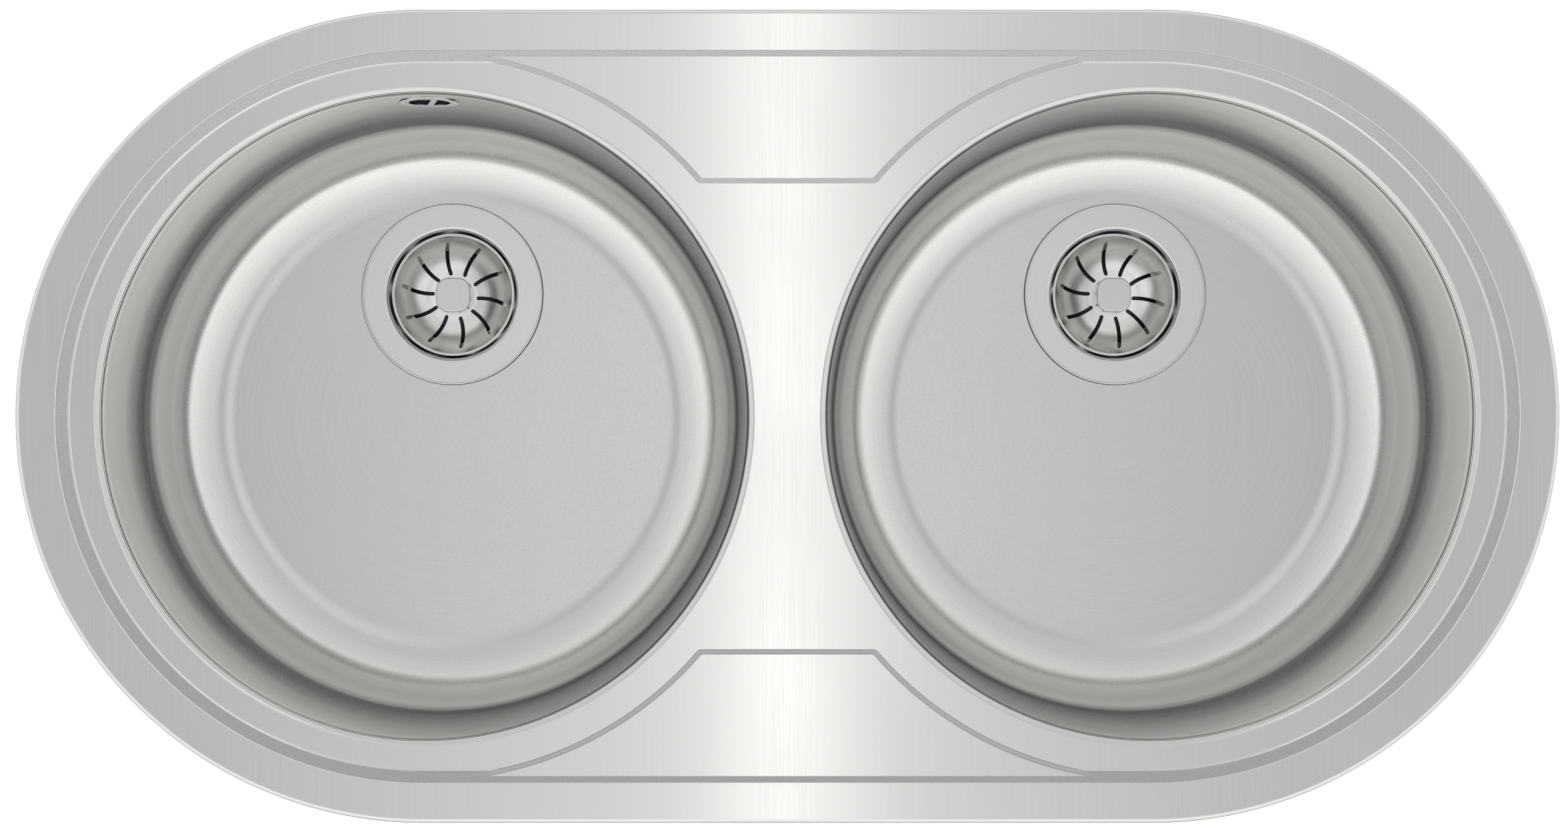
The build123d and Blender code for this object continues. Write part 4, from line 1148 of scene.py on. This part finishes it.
class SINK_OT_soft_parts(bpy.types.Operator):
    """Make the foam seal under the rim and the sound pads under the bowls"""
    bl_idname = "sink.soft_parts"
    bl_label = "Seal and Pads"

    def execute(self, context):
        self.rim_seal()
        for side, _ in SIDES:
            self.sound_pad(side)
        return {"FINISHED"}

    def rim_seal(self):
        """Foam strip with bulging sides, swept round the rim."""
        low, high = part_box("rim_seal")
        height = high.z - low.z
        strip_x = END_X + (high.y - SEAL_WIDTH / 2)
        bm = bmesh.new()
        bmesh.ops.create_grid(bm, x_segments=8, y_segments=4, size=0.5,
                              matrix=Matrix.Translation((strip_x, 0, low.z + height / 2))
                              @ Matrix.Diagonal((SEAL_WIDTH, 1, height, 1))
                              @ Matrix.Rotation(math.pi / 2, 4, "X"))
        for vert in bm.verts:
            side = (vert.co.x - strip_x) / (SEAL_WIDTH / 2)
            level = (vert.co.z - low.z - height / 2) / (height / 2)
            vert.co.x -= SEAL_BULGE * side * level ** 4
        border = [edge for edge in bm.edges if len(edge.link_faces) == 1]
        corners = list({vert for edge in border for vert in edge.verts})
        bmesh.ops.delete(bm, geom=bm.faces[:], context="FACES_KEEP_BOUNDARY")
        bmesh.ops.delete(bm, geom=[edge for edge in bm.edges if edge not in border],
                         context="EDGES")
        loop = [vert for vert in corners if vert.is_valid] + bm.edges[:]
        pulled(bm, swept(bm, loop, (END_X, 0, 0), 90, 60), (-END_X, 0, 0))
        mirrored(bm)
        piece = finished(bm, "foam_seal", finish("foam"), smooth_angle=50)
        placed(piece, "rim_seal")

    def sound_pad(self, side):
        """Round pad with six ring grooves in its face and a rounded edge."""
        node = side + "_sound_pad"
        low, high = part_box(node)
        radius = (high.x - low.x) / 2
        edge = (high.z - low.z) * 0.8
        points = [(0, low.z)]
        for ring in range(1, 7):
            r = radius * (0.14 * ring)
            points += [(r - PAD_GROOVE_HALF, low.z), (r, low.z + PAD_GROOVE),
                       (r + PAD_GROOVE_HALF, low.z)]
        points += arc_points((radius - edge, low.z + edge), edge, -90, 0, 6)
        points += [(radius, high.z), (0, high.z)]
        bm = spun(points, 128, (middle(node, 0), middle(node, 1), 0))
        piece = finished(bm, side + "_deadening_pad", finish("pad"), smooth_angle=50)
        placed(piece, node)


# ---------------------------------------------------------------- stage

FLOOR_GLOW = 0.6
STRIP_PLACE = (0.033, 0, 2.6)
STRIP_SIZE = (0.075, 3.2)
STRIP_POWER = 1.3
BAND_WIDTH = 0.158
BAND_LIGHT = 0.38
CEILING_LIGHT = 0.55
CEILING_EDGE = (0.93, 0.98)
HORIZON = (0.3, 0.5)
HORIZON_LIGHT = 0.8
WALL_LIGHT = 1.52
WALL_FALL = -0.73
FRONT_LIGHT = -0.28


class SINK_OT_stage(bpy.types.Operator):
    """Set up the pale floor, the soft studio light and the camera"""
    bl_idname = "sink.stage"
    bl_label = "Studio"

    def execute(self, context):
        studio = context.scene.sink_studio
        self.floor(studio)
        self.strip()
        self.world(context.scene)
        self.camera(context.scene, studio)
        context.scene.view_settings.view_transform = "Standard"
        return {"FINISHED"}

    def floor(self, studio):
        """Pale floor that the camera sees a little brighter than it is lit."""
        material, tree, shader = new_material("studio_floor")
        shader.inputs["Base Color"].default_value = (*studio.floor, 1)
        shader.inputs["Roughness"].default_value = 0.9
        seen = add(tree, "ShaderNodeLightPath").outputs["Is Camera Ray"]
        glow = add(tree, "ShaderNodeEmission", {"Strength": FLOOR_GLOW}).outputs[0]
        lift = add(tree, "ShaderNodeAddShader", {0: shader.outputs[0], 1: glow}).outputs[0]
        choose = add(tree, "ShaderNodeMixShader", {0: seen, 1: shader.outputs[0], 2: lift})
        feed(tree, tree.nodes["Material Output"].inputs["Surface"], choose.outputs[0])
        bm = bmesh.new()
        bmesh.ops.create_grid(bm, x_segments=1, y_segments=1, size=6.0)
        bmesh.ops.translate(bm, vec=(0, 0, GROUND), verts=bm.verts)
        finished(bm, "studio_floor", material, faces_up=True)

    def strip(self):
        """Narrow ceiling light for the deck alone."""
        light = bpy.data.lights.new("ceiling_strip", "AREA")
        light.shape = "RECTANGLE"
        light.size, light.size_y = STRIP_SIZE
        light.energy = STRIP_POWER
        lamp = shown("ceiling_strip", light)
        lamp.location = STRIP_PLACE
        lamp.light_linking.receiver_collection = bpy.data.collections.new(
            "ceiling_strip_falls_on")

    def world(self, scene):
        """Room light: a band along the ceiling, bright walls and a dimmer horizon."""
        world = bpy.data.worlds.new("studio_room")
        world.use_nodes = True
        scene.world = world
        tree = world.node_tree
        x, y, z = parts_of(tree, add(tree, "ShaderNodeTexCoord").outputs["Generated"])
        lean = maths(tree, "DIVIDE", x, maths(tree, "MAXIMUM", z, 0.05))
        bell = maths(tree, "EXPONENT", times(tree, lean, lean, -1 / BAND_WIDTH ** 2))
        ceiling = maths(tree, "MULTIPLY_ADD", bell, BAND_LIGHT, CEILING_LIGHT)
        front = times(tree, y, stepped(tree, z, HORIZON, (0.0, FRONT_LIGHT)))
        height = maths(tree, "MAXIMUM", z, HORIZON[0])
        walls = maths(tree, "ADD", front,
                      maths(tree, "MULTIPLY_ADD", height, WALL_FALL, WALL_LIGHT))
        walls = times(tree, walls, stepped(tree, z, HORIZON, (HORIZON_LIGHT, 1.0)))
        room = mixed(tree, stepped(tree, z, CEILING_EDGE), walls, ceiling)
        seen = add(tree, "ShaderNodeLightPath").outputs["Is Camera Ray"]
        background = tree.nodes["Background"]
        background.inputs["Color"].default_value = (1, 1, 1, 1)
        feed(tree, background.inputs["Strength"], mixed(tree, seen, room, 1.0))

    def camera(self, scene, studio):
        eye = bpy.data.cameras.new("studio_camera")
        eye.sensor_width = 36.0
        eye.lens = studio.lens
        eye.shift_x = studio.shift_x
        eye.shift_y = studio.shift_y
        eye.clip_end = 50.0
        scene.camera = shown("studio_camera", eye)
        scene.camera.location = (studio.eye_x, studio.eye_y, studio.eye_height)


class SINK_PT_panel(bpy.types.Panel):
    """Lists the steps that make the sink"""
    bl_label = "Sink"
    bl_idname = "SINK_PT_panel"
    bl_space_type = "VIEW_3D"
    bl_region_type = "UI"
    bl_category = "Sink"

    def draw(self, context):
        for operator in STEPS:
            self.layout.operator(operator.bl_idname)


STEPS = (SINK_OT_stage, SINK_OT_materials, SINK_OT_cad_nodes, SINK_OT_deck, SINK_OT_bowls,
         SINK_OT_wastes, SINK_OT_overflow, SINK_OT_fixings, SINK_OT_soft_parts)
GROUPS = {"sink_deck": SinkDeckSizes, "sink_bowl": SinkBowlSizes,
          "sink_hardware": SinkHardwareSizes, "sink_colours": SinkColours,
          "sink_studio": SinkStudio}
CLASSES = (*GROUPS.values(), *STEPS, SINK_PT_panel)


def register():
    for kind in CLASSES:
        bpy.utils.register_class(kind)
    for name, group in GROUPS.items():
        setattr(bpy.types.Scene, name, PointerProperty(type=group))


def unregister():
    for name in GROUPS:
        delattr(bpy.types.Scene, name)
    for kind in reversed(CLASSES):
        bpy.utils.unregister_class(kind)


def main():
    register()
    for operator in STEPS:
        category, name = operator.bl_idname.split(".")
        getattr(getattr(bpy.ops, category), name)()


if __name__ == "__main__":
    main()
